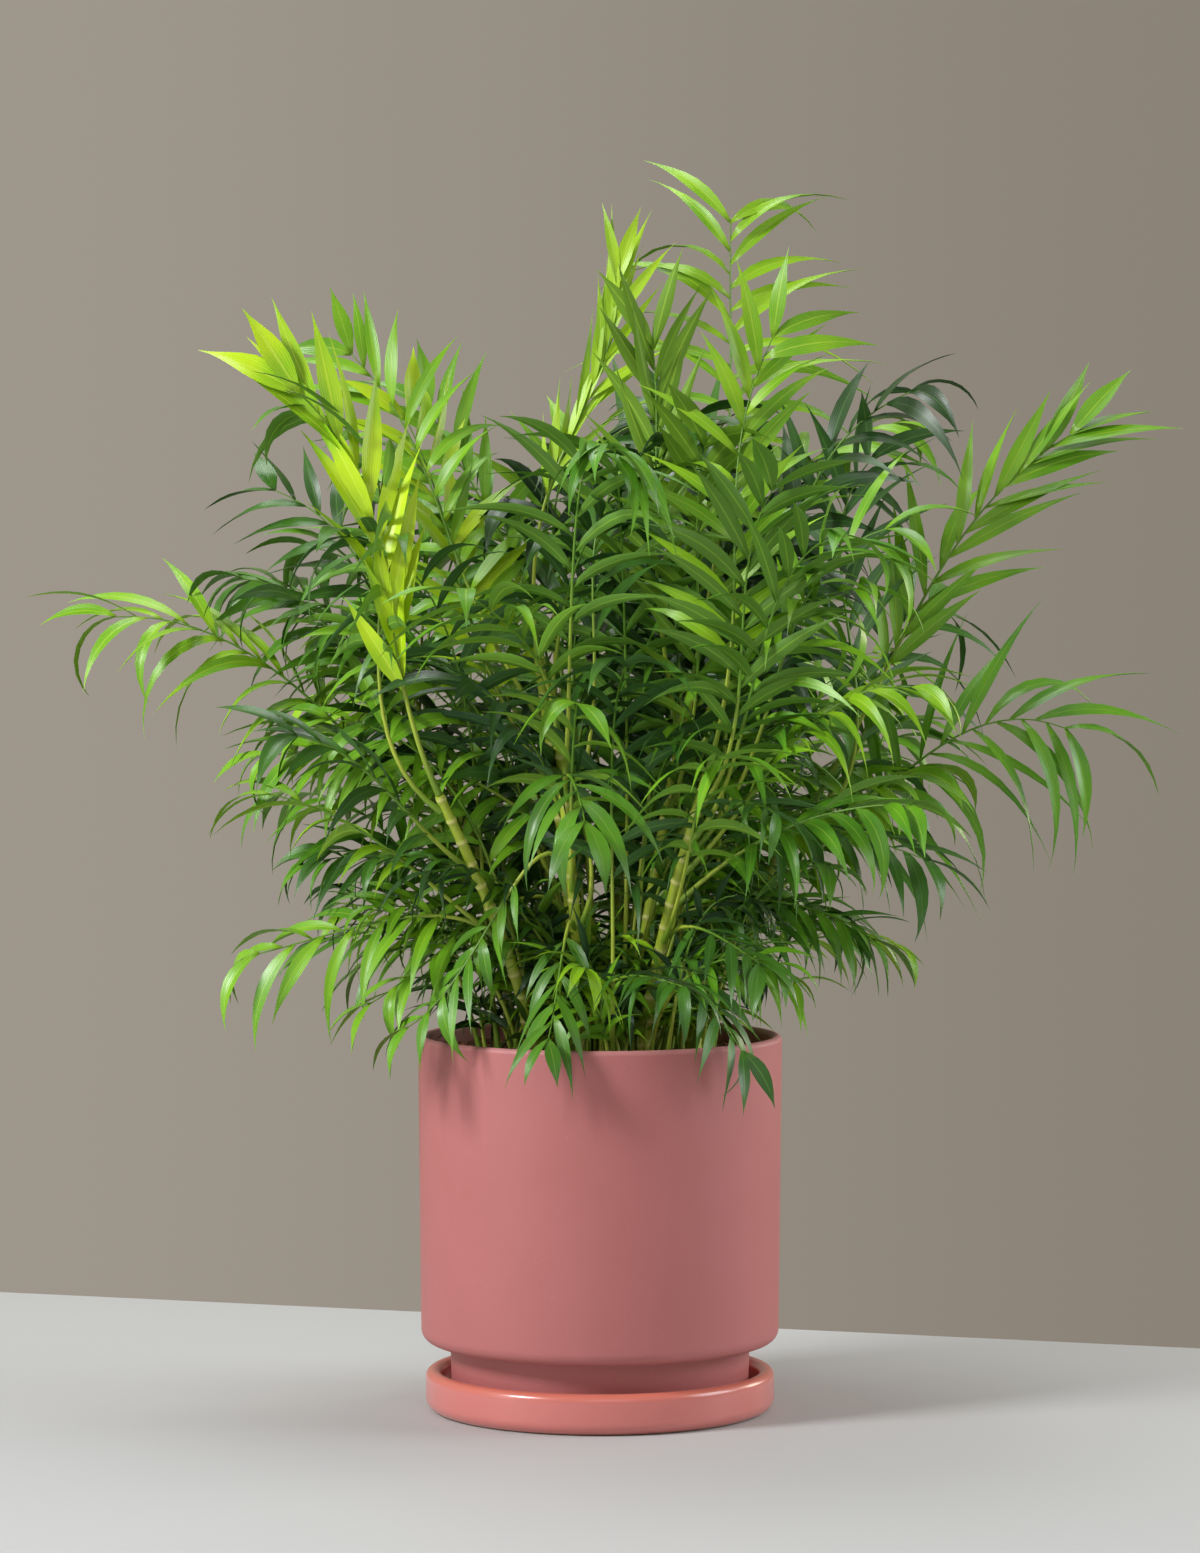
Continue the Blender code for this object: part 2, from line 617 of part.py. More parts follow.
def frond_object(frond, leaves, finish, collection):
    """A frond as one thin blade: a tapering rib with its leaflets on its edges, thickened."""
    work = bmesh.new()
    bare = [frond.habit.petiole * k / PETIOLE_STEPS for k in range(PETIOLE_STEPS)]
    rails = []
    for share in bare + [share for station in leaf_stations(frond) for share in station]:
        point, tangent = rib_point(frond, share)
        half = side_at(frond, share, tangent) * rib_width(share) / 2
        rails.append({-1: work.verts.new(point - half), 1: work.verts.new(point + half)})
    for low, high in zip(rails, rails[1:]):
        work.faces.new((low[-1], low[1], high[1], high[-1]))
    for (pair, way), leaf in leaves.items():
        low, high = rails[len(bare) + 2 * pair], rails[len(bare) + 2 * pair + 1]
        wide_low, wide_high = work.verts.new(leaf.wide_low), work.verts.new(leaf.wide_high)
        tip = work.verts.new(leaf.tip)
        for face in ((low[way], wide_low, wide_high, high[way]), (wide_low, tip, wide_high)):
            work.faces.new(face if way > 0 else face[::-1])
    mesh = bpy.data.meshes.new(frond.name)
    work.to_mesh(mesh)
    work.free()
    made = new_object(frond.name, mesh, finish, collection)
    thicken = made.modifiers.new("Blade", "SOLIDIFY")
    thicken.thickness = BLADE
    thicken.offset = 0.0
    return made


def cane_object(cane, finish, collection):
    """A cane as a tapering eight-sided tube with flat ends."""
    curve = bpy.data.curves.new(cane.name, "CURVE")
    curve.dimensions = "3D"
    curve.bevel_depth = 1.0
    curve.bevel_resolution = 2
    curve.use_fill_caps = True
    spline = curve.splines.new("POLY")
    spline.points.add(len(cane.axis) - 1)
    for point, place, radius in zip(spline.points, cane.axis, cane.radii):
        point.co = (*place, 1.0)
        point.radius = radius
    return new_object(cane.name, curve, finish, collection)


def main():
    """Clears the scene and builds the pot, the clump of canes and the fronds."""
    for old in list(bpy.data.objects):
        bpy.data.objects.remove(old, do_unlink=True)
    collection = bpy.data.collections.new("parlour_palm")
    bpy.context.scene.collection.children.link(collection)

    clay = material("matte_pink_stoneware", CLAY, 0.62)
    glazed = material("glazed_pink_stoneware", GLAZE, 0.30)
    bark_mix = material("bark_potting_mix", BARK_MIX, 0.95)
    cane_skin = material("cane_skin", CANE_GREEN, 0.45)
    leaf_skins = {tint: material(f"leaf_{tint}", colour, 0.42) for tint, colour in TINTS.items()}

    space = Space()
    for name, profile, finish in (
        ("saucer", saucer_profile(), glazed),
        ("pot", pot_profile(), clay),
        ("potting_mix", mix_profile(), bark_mix),
    ):
        made = turned(name, profile, finish, collection)
        bpy.context.view_layer.update()
        space.add(*evaluated_shape(made), owner=name)

    canes = grow_canes()
    for cane in canes:
        cane_object(cane, cane_skin, collection)
        space.add(*sleeve(cane.axis, [radius + CANE_MARGIN for radius in cane.radii]), owner=cane.name)

    fronds = grow_fronds(canes)
    for frond in fronds:
        space.add(*sleeve(frond.rib, PETIOLE_WIDTH / 2 + RIB_MARGIN), owner=frond.name)
    for frond in fronds:
        leaves = choose_leaves(frond, space)
        frond_object(frond, leaves, leaf_skins[frond.habit.tint], collection)


main()
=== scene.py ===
"""Parlour palm in a matte pink stoneware pot: finishes, fine foliage, studio light and camera.

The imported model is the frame. The fronds' ribs and the canes grow by the same rule as in the
model's source, and each frond's blade is carried on to its real leaflets.
"""

import json
import logging
import math
import random
import sys
from dataclasses import dataclass
from enum import Enum
from itertools import cycle
from typing import Any, NamedTuple, Optional, Sequence

import bpy
import numpy as np
from bpy.types import Collection, Material, Mesh, Node, NodeSocket, NodeTree, Object
from mathutils import Matrix, Vector, noise

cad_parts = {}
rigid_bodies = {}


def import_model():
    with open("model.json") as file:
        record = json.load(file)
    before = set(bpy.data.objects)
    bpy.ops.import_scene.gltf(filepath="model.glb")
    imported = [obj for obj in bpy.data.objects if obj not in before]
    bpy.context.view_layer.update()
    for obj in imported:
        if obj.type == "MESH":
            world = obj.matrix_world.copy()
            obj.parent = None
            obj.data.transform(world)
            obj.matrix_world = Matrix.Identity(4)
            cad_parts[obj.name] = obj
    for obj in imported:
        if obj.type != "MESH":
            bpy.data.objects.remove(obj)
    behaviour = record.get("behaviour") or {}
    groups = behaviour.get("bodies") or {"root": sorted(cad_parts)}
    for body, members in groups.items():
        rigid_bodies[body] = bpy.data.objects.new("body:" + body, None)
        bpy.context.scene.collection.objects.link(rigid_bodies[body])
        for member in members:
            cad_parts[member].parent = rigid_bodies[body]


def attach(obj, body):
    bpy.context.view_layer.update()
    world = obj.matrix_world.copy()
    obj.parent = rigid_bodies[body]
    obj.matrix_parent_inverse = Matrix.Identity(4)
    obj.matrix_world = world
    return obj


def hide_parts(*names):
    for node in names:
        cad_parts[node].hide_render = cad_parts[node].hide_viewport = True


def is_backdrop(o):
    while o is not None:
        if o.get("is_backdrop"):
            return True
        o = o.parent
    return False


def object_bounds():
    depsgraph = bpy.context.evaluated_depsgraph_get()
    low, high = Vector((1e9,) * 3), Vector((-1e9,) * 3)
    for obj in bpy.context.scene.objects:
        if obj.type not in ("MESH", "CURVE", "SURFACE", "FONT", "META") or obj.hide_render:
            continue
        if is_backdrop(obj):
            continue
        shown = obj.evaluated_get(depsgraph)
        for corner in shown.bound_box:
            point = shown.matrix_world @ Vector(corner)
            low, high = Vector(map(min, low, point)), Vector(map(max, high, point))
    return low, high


LOG = logging.getLogger("parlour_palm")
UP = Vector((0.0, 0.0, 1.0))
WINDOW = Vector((0.0, -1.0, 0.0))
MM = 0.001
BODY = "root"
GOLDEN_TURN = math.radians(137.508)
LEAF_UV = "OFBake"  # one layout for every leaflet, so a bake through it keeps the veins
BOX_CORNERS = [(x, y, z) for z in (-1, 1) for x, y in ((-1, -1), (1, -1), (1, 1), (-1, 1))]
BOX_FACES = [(3, 2, 1, 0), (4, 5, 6, 7), (0, 1, 5, 4), (1, 2, 6, 5), (2, 3, 7, 6), (3, 0, 4, 7)]


def linear(hex_colour: str) -> tuple[float, float, float, float]:
    """Turns an sRGB hex colour to linear RGBA.

    Args:
        hex_colour: The colour as "#rrggbb".

    Returns:
        Red, green, blue and alpha.
    """
    parts = [int(hex_colour[i : i + 2], 16) / 255 for i in (1, 3, 5)]
    curve = [c / 12.92 if c <= 0.04045 else ((c + 0.055) / 1.055) ** 2.4 for c in parts]
    return (curve[0], curve[1], curve[2], 1.0)


def add_node(tree: NodeTree, kind: str, links: Optional[dict] = None, **settings: Any) -> Node:
    """Adds a node with its settings and links.

    Args:
        tree: The node tree it joins.
        kind: The node's class name.
        links: For an input's name or number, the value it holds or the socket it is linked from.
        **settings: The node's own properties.

    Returns:
        The new node.
    """
    node = tree.nodes.new(kind)
    for key, value in settings.items():
        setattr(node, key, value)
    for key, value in (links or {}).items():
        if isinstance(value, NodeSocket):
            tree.links.new(value, node.inputs[key])
        else:
            node.inputs[key].default_value = value
    return node


def new_material(name: str, **values: Any) -> tuple[Material, Node]:
    """Makes a material with one Principled shader.

    Args:
        name: The material's name.
        **values: The shader's sockets, with _ for each space in a socket's name.

    Returns:
        The material and its shader node.
    """
    made = bpy.data.materials.new(name)
    made.use_nodes = True
    shader = made.node_tree.nodes["Principled BSDF"]
    for key, value in values.items():
        shader.inputs[key.replace("_", " ")].default_value = value
    return made, shader


def paint(shader: Node, base: str, layers: Sequence[tuple], relief: Optional[tuple] = None) -> None:
    """Gives a shader its colour, laid on in layers, and the relief that its surface shows.

    Args:
        shader: The shader.
        base: The lowest layer's colour, as hex.
        layers: For each layer over it, the socket for its share and its colour.
        relief: The socket for the relief's height, its strength and its depth in metres.
    """
    tree = shader.id_data
    colour = linear(base)
    for share, over in layers:
        mix = {0: share, 6: colour, 7: linear(over)}
        colour = add_node(tree, "ShaderNodeMix", mix, data_type="RGBA").outputs[2]
    tree.links.new(colour, shader.inputs["Base Color"])
    if relief:
        bump = add_node(tree, "ShaderNodeBump", dict(zip(("Height", "Strength", "Distance"), relief)))
        tree.links.new(bump.outputs["Normal"], shader.inputs["Normal"])


def new_mesh(name: str, points: Sequence, edges: Sequence = (), faces: Sequence = ()) -> Mesh:
    """Makes a mesh of points and of the edges or faces between them."""
    mesh = bpy.data.meshes.new(name)
    mesh.from_pydata(points, edges, faces)
    return mesh


def give_values(mesh: Mesh, key: str, kind: str, rows: Any, domain: str = "POINT") -> None:
    """Gives a mesh a named attribute with one value, or one vector, for each of its points or faces."""
    field = "vector" if kind == "FLOAT_VECTOR" else "value"
    mesh.attributes.new(key, kind, domain).data.foreach_set(field, np.ravel(rows))


def link_new(name: str, data: bpy.types.ID) -> Object:
    """Makes an object of a mesh, a lamp or a camera, and links it to the scene."""
    made = bpy.data.objects.new(name, data)
    bpy.context.scene.collection.objects.link(made)
    return made


def plain_mesh(source: Object, name: str) -> Object:
    """Turns an object with live modifiers into a new object with a plain mesh, and removes the first.

    Args:
        source: The object to evaluate.
        name: The new object's name.

    Returns:
        The plain object, linked to the scene.
    """
    bpy.context.view_layer.update()
    graph = bpy.context.evaluated_depsgraph_get()
    mesh = bpy.data.meshes.new_from_object(source.evaluated_get(graph))
    mesh.name = name
    old = source.data
    bpy.data.objects.remove(source)
    bpy.data.meshes.remove(old)
    return link_new(name, mesh)


def new_tree(name: str, inputs: dict[str, str]) -> tuple[NodeTree, Any]:
    """Makes a Geometry Nodes tree that takes in a mesh and named values, and gives out a mesh.

    Args:
        name: The tree's name.
        inputs: For each value's name, its kind of socket.

    Returns:
        The tree, and its inputs as sockets.
    """
    tree = bpy.data.node_groups.new(name, "GeometryNodeTree")
    tree.interface.new_socket("Geometry", in_out="OUTPUT", socket_type="NodeSocketGeometry")
    for key, kind in {"Geometry": "Geometry", **inputs}.items():
        tree.interface.new_socket(key, in_out="INPUT", socket_type="NodeSocket" + kind)
    return tree, add_node(tree, "NodeGroupInput").outputs


def run_tree(name: str, mesh: Mesh, tree: NodeTree, values: dict[str, Any]) -> Object:
    """Runs a Geometry Nodes tree on a mesh.

    Args:
        name: The new object's name.
        mesh: The mesh that it starts from.
        tree: The tree.
        values: For each of the tree's inputs, its value.

    Returns:
        What the tree makes, as an object with a plain mesh.
    """
    source = link_new(name + "_source", mesh)
    maker = source.modifiers.new(tree.name, "NODES")
    maker.node_group = tree
    keys = {item.name: item.identifier for item in tree.interface.items_tree if item.in_out == "INPUT"}
    for key, value in values.items():
        maker[keys[key]] = value
    return plain_mesh(source, name)


def shape_store(name: str, shapes: Sequence[Mesh]) -> Collection:
    """Keeps shapes in a collection outside the scene, for a tree to set out.

    Args:
        name: The collection's name.
        shapes: The shapes, in the alphabetical order of their names.

    Returns:
        The collection.
    """
    store = bpy.data.collections.new(name)
    for shape in shapes:
        store.objects.link(bpy.data.objects.new(shape.name, shape))
    return store


def clear_store(store: Collection) -> None:
    """Removes a collection of shapes once its tree has run."""
    for shape in list(store.objects):
        bpy.data.objects.remove(shape)
    bpy.data.collections.remove(store)


def run_along(points: np.ndarray) -> np.ndarray:
    """The length along a chain of points up to each of them."""
    return np.concatenate([[0.0], np.cumsum(np.linalg.norm(np.diff(points, axis=0), axis=1))])


def points_at(points: np.ndarray, run: np.ndarray, places: np.ndarray) -> np.ndarray:
    """The points at given lengths along a chain."""
    return np.stack([np.interp(places, run, points[:, k]) for k in range(3)], axis=1)


def settle(piece: Object, slot: str, nodes: Sequence[str]) -> Object:
    """Rides a finished piece on the plant's body, hides the model's nodes that it stands for, and logs its
    slot.

    Args:
        piece: The piece.
        slot: Its material slot in the record.
        nodes: The model's nodes that it replaces, if any.

    Returns:
        The same piece.
    """
    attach(piece, BODY)
    if nodes:
        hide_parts(*nodes)
    LOG.info("%s: %d faces, slot %s", piece.name, len(piece.data.polygons), slot)
    return piece


class Tint(Enum):
    """The greens of the leaves, from the youngest to the oldest; the darker ones also serve partly as
    painted shade for fronds deep in the crown.
    """

    LIME = "lime"
    FRESH = "fresh"
    MID = "mid"
    DEEP = "deep"
    DARK = "dark"

    @property
    def slot(self) -> str:
        """The record's material slot for this green."""
        return f"leaf_{self.value}"


class LeafForm(Enum):
    """The leaflets' outlines: where each is widest, and how fast it tapers below and above that."""

    LANCE = (0.38, 0.72, 1.55)
    SLENDER = (0.33, 0.80, 2.00)
    TAIL = (0.42, 0.80, 1.6)

    def half_width(self, t: float) -> float:
        """Works out the outline, with a foot that stays a little wide where it clasps the rib.

        Args:
            t: The share of the leaflet's length.

        Returns:
            Half its width there, for a leaflet of width 1.
        """
        widest, below, above = self.value
        if t < widest:
            return 0.5 * max(math.sin(t / widest * math.pi / 2) ** below, 0.18)
        return 0.5 * math.cos((t - widest) / (1 - widest) * math.pi / 2) ** above


class Glaze(Enum):
    """The stoneware's two surfaces: the roughness of each, its clear coat and its orange peel."""

    MATTE = (0.52, 0.0, 0.22)
    SATIN = (0.26, 0.35, 0.12)


class Habit(NamedTuple):
    """How one frond grows: its rib's bend, then its leaflets. Its angles are in degrees."""

    rise: float  # how far the rib climbs before it bends
    pitch: float  # the slope of its tip
    petiole: float  # the bare share of its length
    leaf_mm: float
    width_mm: float
    open: float  # a leaflet's angle to the rib
    lift: float  # its angle above the blade
    sag: float
    tint: Tint
    faced: float  # how squarely the blade faces the window, from 0 to 1


class Leader(NamedTuple):
    """A frond that makes the crown's outline: where its rib ends, and its habit."""

    name: str
    tip: tuple[float, float, float]
    habit: Habit


class Tier(NamedTuple):
    """Fronds of one age, set round the clump by the golden angle."""

    name: str
    count: int
    reach: tuple[float, float]
    height: tuple[float, float]
    habit: Habit
    tints: tuple[Tint, ...]


class Plan(NamedTuple):
    """What is known of a frond before it grows."""

    name: str
    tip: Vector
    habit: Habit


class Cane(NamedTuple):
    """One stem: its axis from foot to tip, and its radius at each point."""

    name: str
    axis: list[Vector]
    radii: list[float]


class Frond(NamedTuple):
    """One frond: its rib from foot to tip, and the side its leaflets spread to."""

    name: str
    rib: np.ndarray
    fan: Vector
    habit: Habit


LIME, FRESH, MID, DEEP, DARK = Tint

LEADERS = (
    Leader("far_left", (-0.330, -0.02, 0.545), Habit(0.5, -3, 0.24, 96, 12, 50, 8, 0.7, FRESH, 0.4)),
    Leader("lime_left", (-0.200, -0.10, 0.694), Habit(0.7, 42, 0.26, 96, 16, 15, 8, 0.1, LIME, 0.9)),
    Leader("high_left", (-0.172, 0.04, 0.726), Habit(0.8, 44, 0.28, 74, 12, 48, 10, 0.3, FRESH, 1.0)),
    Leader("dark_left", (-0.226, 0.05, 0.632), Habit(0.7, 20, 0.26, 70, 13, 54, 10, 0.35, DARK, 0.7)),
    Leader("crown_left", (-0.120, 0.09, 0.690), Habit(0.8, 62, 0.28, 78, 13, 46, 10, 0.35, MID, 0.9)),
    Leader("top", (0.090, 0.03, 0.816), Habit(0.9, 88, 0.3, 104, 11, 60, 8, 0.65, FRESH, 0.9)),
    Leader("pale_spear", (0.012, -0.01, 0.770), Habit(0.9, 88, 0.42, 78, 9, 18, 4, 0.0, LIME, 1.0)),
    Leader("green_spear", (0.036, -0.04, 0.726), Habit(0.9, 84, 0.3, 92, 12, 34, 6, 0.0, FRESH, 1.0)),
    Leader("bright_right", (0.114, -0.12, 0.73), Habit(0.8, 62, 0.28, 82, 13, 48, 8, 0.25, FRESH, 1.0)),
    Leader("high_right", (0.324, 0.02, 0.670), Habit(0.55, 30, 0.32, 96, 14, 28, 12, 0.1, FRESH, 0.9)),
    Leader("fish_tail", (0.208, -0.07, 0.696), Habit(0.8, 22, 0.26, 88, 15, 50, 6, 0.75, DARK, 0.5)),
    Leader("far_right", (0.314, -0.05, 0.470), Habit(0.55, -22, 0.26, 112, 11, 58, 0, 0.6, MID, 0.75)),
    Leader("lime_right", (0.205, -0.15, 0.500), Habit(0.6, -6, 0.26, 80, 11, 50, 4, 0.55, FRESH, 0.3)),
    Leader("low_right", (0.215, -0.11, 0.385), Habit(0.55, -18, 0.24, 78, 12, 52, 0, 0.55, DARK, 0.3)),
    Leader("hang_right", (0.182, -0.08, 0.33), Habit(0.5, -34, 0.24, 70, 11, 52, -4, 0.6, DEEP, 0.3)),
    Leader("low_left", (-0.230, -0.06, 0.318), Habit(0.5, -14, 0.24, 80, 12, 52, 0, 0.6, MID, 0.5)),
    Leader("lower_left", (-0.184, -0.01, 0.384), Habit(0.5, -6, 0.24, 66, 11, 52, 4, 0.5, DEEP, 0.4)),
    Leader("rim_left", (-0.128, -0.10, 0.272), Habit(0.5, -28, 0.28, 58, 10, 50, 4, 0.6, MID, 0.3)),
    Leader("mid_left", (-0.220, -0.05, 0.452), Habit(0.55, -8, 0.24, 76, 12, 54, 0, 0.6, MID, 0.5)),
    Leader("rim_front", (-0.034, -0.140, 0.268), Habit(0.5, -38, 0.28, 60, 10, 46, 4, 0.5, DEEP, 0.2)),
    Leader("rim_right", (0.094, -0.122, 0.258), Habit(0.5, -44, 0.28, 60, 10, 44, 4, 0.5, DEEP, 0.2)),
    Leader("front_right", (0.112, -0.17, 0.628), Habit(0.7, 40, 0.26, 84, 13, 50, 6, 0.35, MID, 0.6)),
    Leader("front_left", (-0.085, -0.18, 0.560), Habit(0.7, 22, 0.26, 90, 13, 52, 6, 0.55, MID, 0.5)),
    Leader("hang_front", (-0.01, -0.21, 0.415), Habit(0.6, -26, 0.26, 88, 14, 52, 0, 0.6, DEEP, 0.0)),
)

TIERS = (
    Tier(
        "skirt", 7, (0.165, 0.205), (0.285, 0.345),
        Habit(0.5, -26, 0.26, 62, 11, 52, 2, 0.5, DEEP, 0.2),
        (DEEP, DARK, MID),
    ),
    Tier(
        "middle", 11, (0.225, 0.275), (0.4, 0.6),
        Habit(0.6, 2, 0.24, 82, 13, 54, 4, 0.5, MID, 0.3),
        (MID, DARK, DEEP, FRESH),
    ),
    Tier(
        "upper", 5, (0.1, 0.2), (0.63, 0.74),
        Habit(0.8, 52, 0.26, 84, 13, 50, 14, 0.25, FRESH, 0.5),
        (FRESH, MID, LIME, DEEP),
    ),
)

# The finer growth inside the same reach. The inner and seedling tiers take mostly the darker greens and the
# outer tier more of the brighter ones: partly the leaves' own range of greens, partly painted shade inside
# and low in the crown and painted light on its outside.
FINER = (
    Tier(
        "inner", 52, (0.04, 0.17), (0.46, 0.69),
        Habit(0.8, 26, 0.44, 100, 13, 46, 8, 0.9, DEEP, 0.3),
        # mostly darker greens, partly painted shade inside the crown
        (DARK, DEEP, DARK, MID, DARK),
    ),
    Tier(
        "outer", 60, (0.15, 0.245), (0.42, 0.69),
        Habit(0.7, 6, 0.38, 88, 12, 52, 4, 1.0, MID, 0.3),
        # more of the brighter greens, partly painted light on the crown's outside
        (MID, DEEP, FRESH, MID, FRESH),
    ),
    Tier(
        "seedling", 56, (0.10, 0.205), (0.30, 0.42),
        Habit(0.75, -10, 0.38, 60, 7.5, 52, 8, 0.6, DEEP, 0.2),
        # mostly darker greens, partly painted shade low in the crown
        (DEEP, MID, DARK, DEEP, FRESH),
    ),
    Tier(
        "tuft", 64, (0.02, 0.11), (0.275, 0.335),
        Habit(0.8, 10, 0.28, 56, 7.5, 52, 10, 0.6, DEEP, 0.2),
        (DEEP, MID, FRESH, DARK),
    ),
)


@dataclass
class GrowthRule:
    """The palm's growth, the same as in the model's source: canes, then fronds on them."""

    mix_top: float = 0.246
    seat_gap: float = 0.0003
    cane_count: int = 10
    cane_first_turn: float = math.radians(200.0)
    clump_radius: float = 0.066
    cane_tall: float = 0.30
    cane_short: float = 0.17
    cane_lean_middle: float = 0.014
    cane_lean_edge: float = 0.085
    cane_lean_power: float = 1.3
    cane_foot_radius: float = 0.0044
    cane_tip_radius: float = 0.0030
    root_flare: float = 1.4
    root_flare_height: float = 0.012
    cane_rings: int = 6
    aim_share: float = 0.45
    crowding: float = 0.014
    lowest_frond_at: float = 0.30
    off_cane: float = 0.55
    blade: float = 0.0012
    foot_pull: float = 0.6
    tip_pull: float = 0.36
    rib_samples: int = 24
    rib_clear: float = 0.0056
    most_turns: int = 40
    turn_step: float = math.radians(1.6)
    seed: int = 11
    fill_arc: float = math.radians(290.0)
    fill_middle: float = math.radians(90.0)
    pitch_spread: float = 10.0
    leaf_spread: float = 0.12
    sag_spread: float = 0.15
    finer_lowest: float = 0.15
    finer_span: float = 0.8
    shoots_between: tuple[float, float] = (0.01, 0.082)
    shoot_depth: float = 0.002
    shoot_lean: tuple[float, float] = (0.05, 0.35)
    shoot_turn: float = 0.6
    most_roll: float = 0.7
    square_on: float = 0.85
    view_clear: float = 0.017
    stem_window: tuple[float, float, float, float] = (-0.075, 0.06, 0.315, 0.42)
    stem_window_front: float = -0.05

    @staticmethod
    def level(turn: float) -> Vector:
        """The level unit vector at an angle from +X towards +Y."""
        return Vector((math.cos(turn), math.sin(turn), 0.0))

    @staticmethod
    def flat_of(way: Vector) -> Vector:
        """The level unit vector under a direction."""
        return Vector((way.x, way.y, 0.0)).normalized()

    @staticmethod
    def blend(low: float, high: float, share: float) -> float:
        """The value that lies a share of the way from low to high."""
        return low + (high - low) * share

    def grow_canes(self) -> list[Cane]:
        """Sets the canes out in a spiral clump, the outer ones shorter and leaning further out.

        Returns:
            The canes, the middle one first.
        """
        canes = []
        for i in range(self.cane_count):
            outward = self.level(self.cane_first_turn + i * GOLDEN_TURN)
            spread = math.sqrt((i + 0.5) / self.cane_count)
            foot = outward * self.clump_radius * spread + UP * (self.mix_top + self.seat_gap)
            height = self.blend(self.cane_tall, self.cane_short, spread)
            lean = self.blend(self.cane_lean_middle, self.cane_lean_edge, spread)
            axis = [foot, foot + UP * self.root_flare_height]
            radii = [self.cane_foot_radius * self.root_flare, self.cane_foot_radius]
            for k in range(1, self.cane_rings):
                share = k / (self.cane_rings - 1)
                rise = UP * (self.root_flare_height + (height - self.root_flare_height) * share)
                axis.append(foot + rise + outward * lean * share**self.cane_lean_power)
                radii.append(self.blend(self.cane_foot_radius, self.cane_tip_radius, share))
            canes.append(Cane(f"cane_{i + 1:02d}", axis, radii))
        return canes

    def cane_at(self, cane: Cane, share: float) -> tuple[Vector, Vector, float]:
        """Finds a place on a cane.

        Args:
            cane: The cane.
            share: The share of its height.

        Returns:
            The point on its axis, its direction there and its radius.
        """
        place = share * (len(cane.axis) - 1)
        i = min(int(place), len(cane.axis) - 2)
        low, high = cane.axis[i], cane.axis[i + 1]
        radius = self.blend(cane.radii[i], cane.radii[i + 1], place - i)
        return low.lerp(high, place - i), (high - low).normalized(), radius

    def tier_plans(self, tier: Tier, draw: random.Random, around: float) -> list[Plan]:
        """Plans the fronds of one tier.

        Args:
            tier: The tier.
            draw: The random numbers, shared by the tiers in order.
            around: The angle round the clump that the tier takes.

        Returns:
            The plans.
        """
        plans = []
        for k in range(tier.count):
            turn = (k * GOLDEN_TURN / math.tau) % 1.0 - 0.5
            outward = self.level(self.fill_middle + around * turn)
            reach = draw.uniform(*tier.reach)
            height = draw.uniform(*tier.height)
            habit = tier.habit._replace(
                pitch=tier.habit.pitch + draw.uniform(-self.pitch_spread, self.pitch_spread),
                leaf_mm=tier.habit.leaf_mm * draw.uniform(1 - self.leaf_spread, 1 + self.leaf_spread),
                sag=tier.habit.sag + draw.uniform(-self.sag_spread, self.sag_spread),
                tint=tier.tints[k % len(tier.tints)],
            )
            plans.append(Plan(f"frond_{tier.name}_{k + 1:02d}", outward * reach + UP * height, habit))
        return plans

    def planned_fronds(self) -> list[Plan]:
        """Plans the model's fronds: the leaders, then each tier round the rest of the clump.

        Returns:
            The plans.
        """
        draw = random.Random(self.seed)
        plans = [Plan(f"frond_{leader.name}", Vector(leader.tip), leader.habit) for leader in LEADERS]
        for tier in TIERS:
            plans += self.tier_plans(tier, draw, self.fill_arc)
        return plans

    def share_out(self, plans: list[Plan], canes: list[Cane]) -> list[tuple[int, float]]:
        """Gives each planned frond its cane and its place on it.

        Args:
            plans: The plans.
            canes: The canes.

        Returns:
            For each plan, the cane's number and the share of its height where the frond leaves it.
        """
        tops = [Vector((cane.axis[-1].x, cane.axis[-1].y, 0.0)) for cane in canes]
        load = [0] * len(canes)
        chosen = []
        for plan in plans:
            aim = Vector((plan.tip.x, plan.tip.y, 0.0)) * self.aim_share
            best = min(range(len(canes)), key=lambda i: (aim - tops[i]).length + self.crowding * load[i])
            load[best] += 1
            chosen.append(best)
        places = [0.0] * len(plans)
        for i in range(len(canes)):
            own = sorted((k for k in range(len(plans)) if chosen[k] == i), key=lambda k: plans[k].tip.z)
            for order, k in enumerate(own):
                places[k] = self.blend(self.lowest_frond_at, 1.0, (order + 1) / len(own))
        return list(zip(chosen, places))

    def rib_curve(self, start: Vector, leave: Vector, tip: Vector, habit: Habit) -> np.ndarray:
        """Bends a rib from its start to its tip.

        Args:
            start: Where it leaves the cane.
            leave: The direction it leaves in.
            tip: Where it ends.
            habit: Its rise and pitch.

        Returns:
            Its points, evenly spaced.
        """
        pitch = math.radians(habit.pitch)
        end = self.flat_of(tip - start) * math.cos(pitch) + UP * math.sin(pitch)
        length = (tip - start).length
        second = start + leave * length * habit.rise * self.foot_pull
        knots = [np.array(p) for p in (start, second, tip - end * length * self.tip_pull, tip)]
        t = np.linspace(0.0, 1.0, 4 * self.rib_samples)[:, None]
        weights = ((1 - t) ** 3, 3 * t * (1 - t) ** 2, 3 * t**2 * (1 - t), t**3)
        fine = sum(weight * knot for weight, knot in zip(weights, knots))
        run = run_along(fine)
        return points_at(fine, run, np.linspace(0.0, run[-1], self.rib_samples))

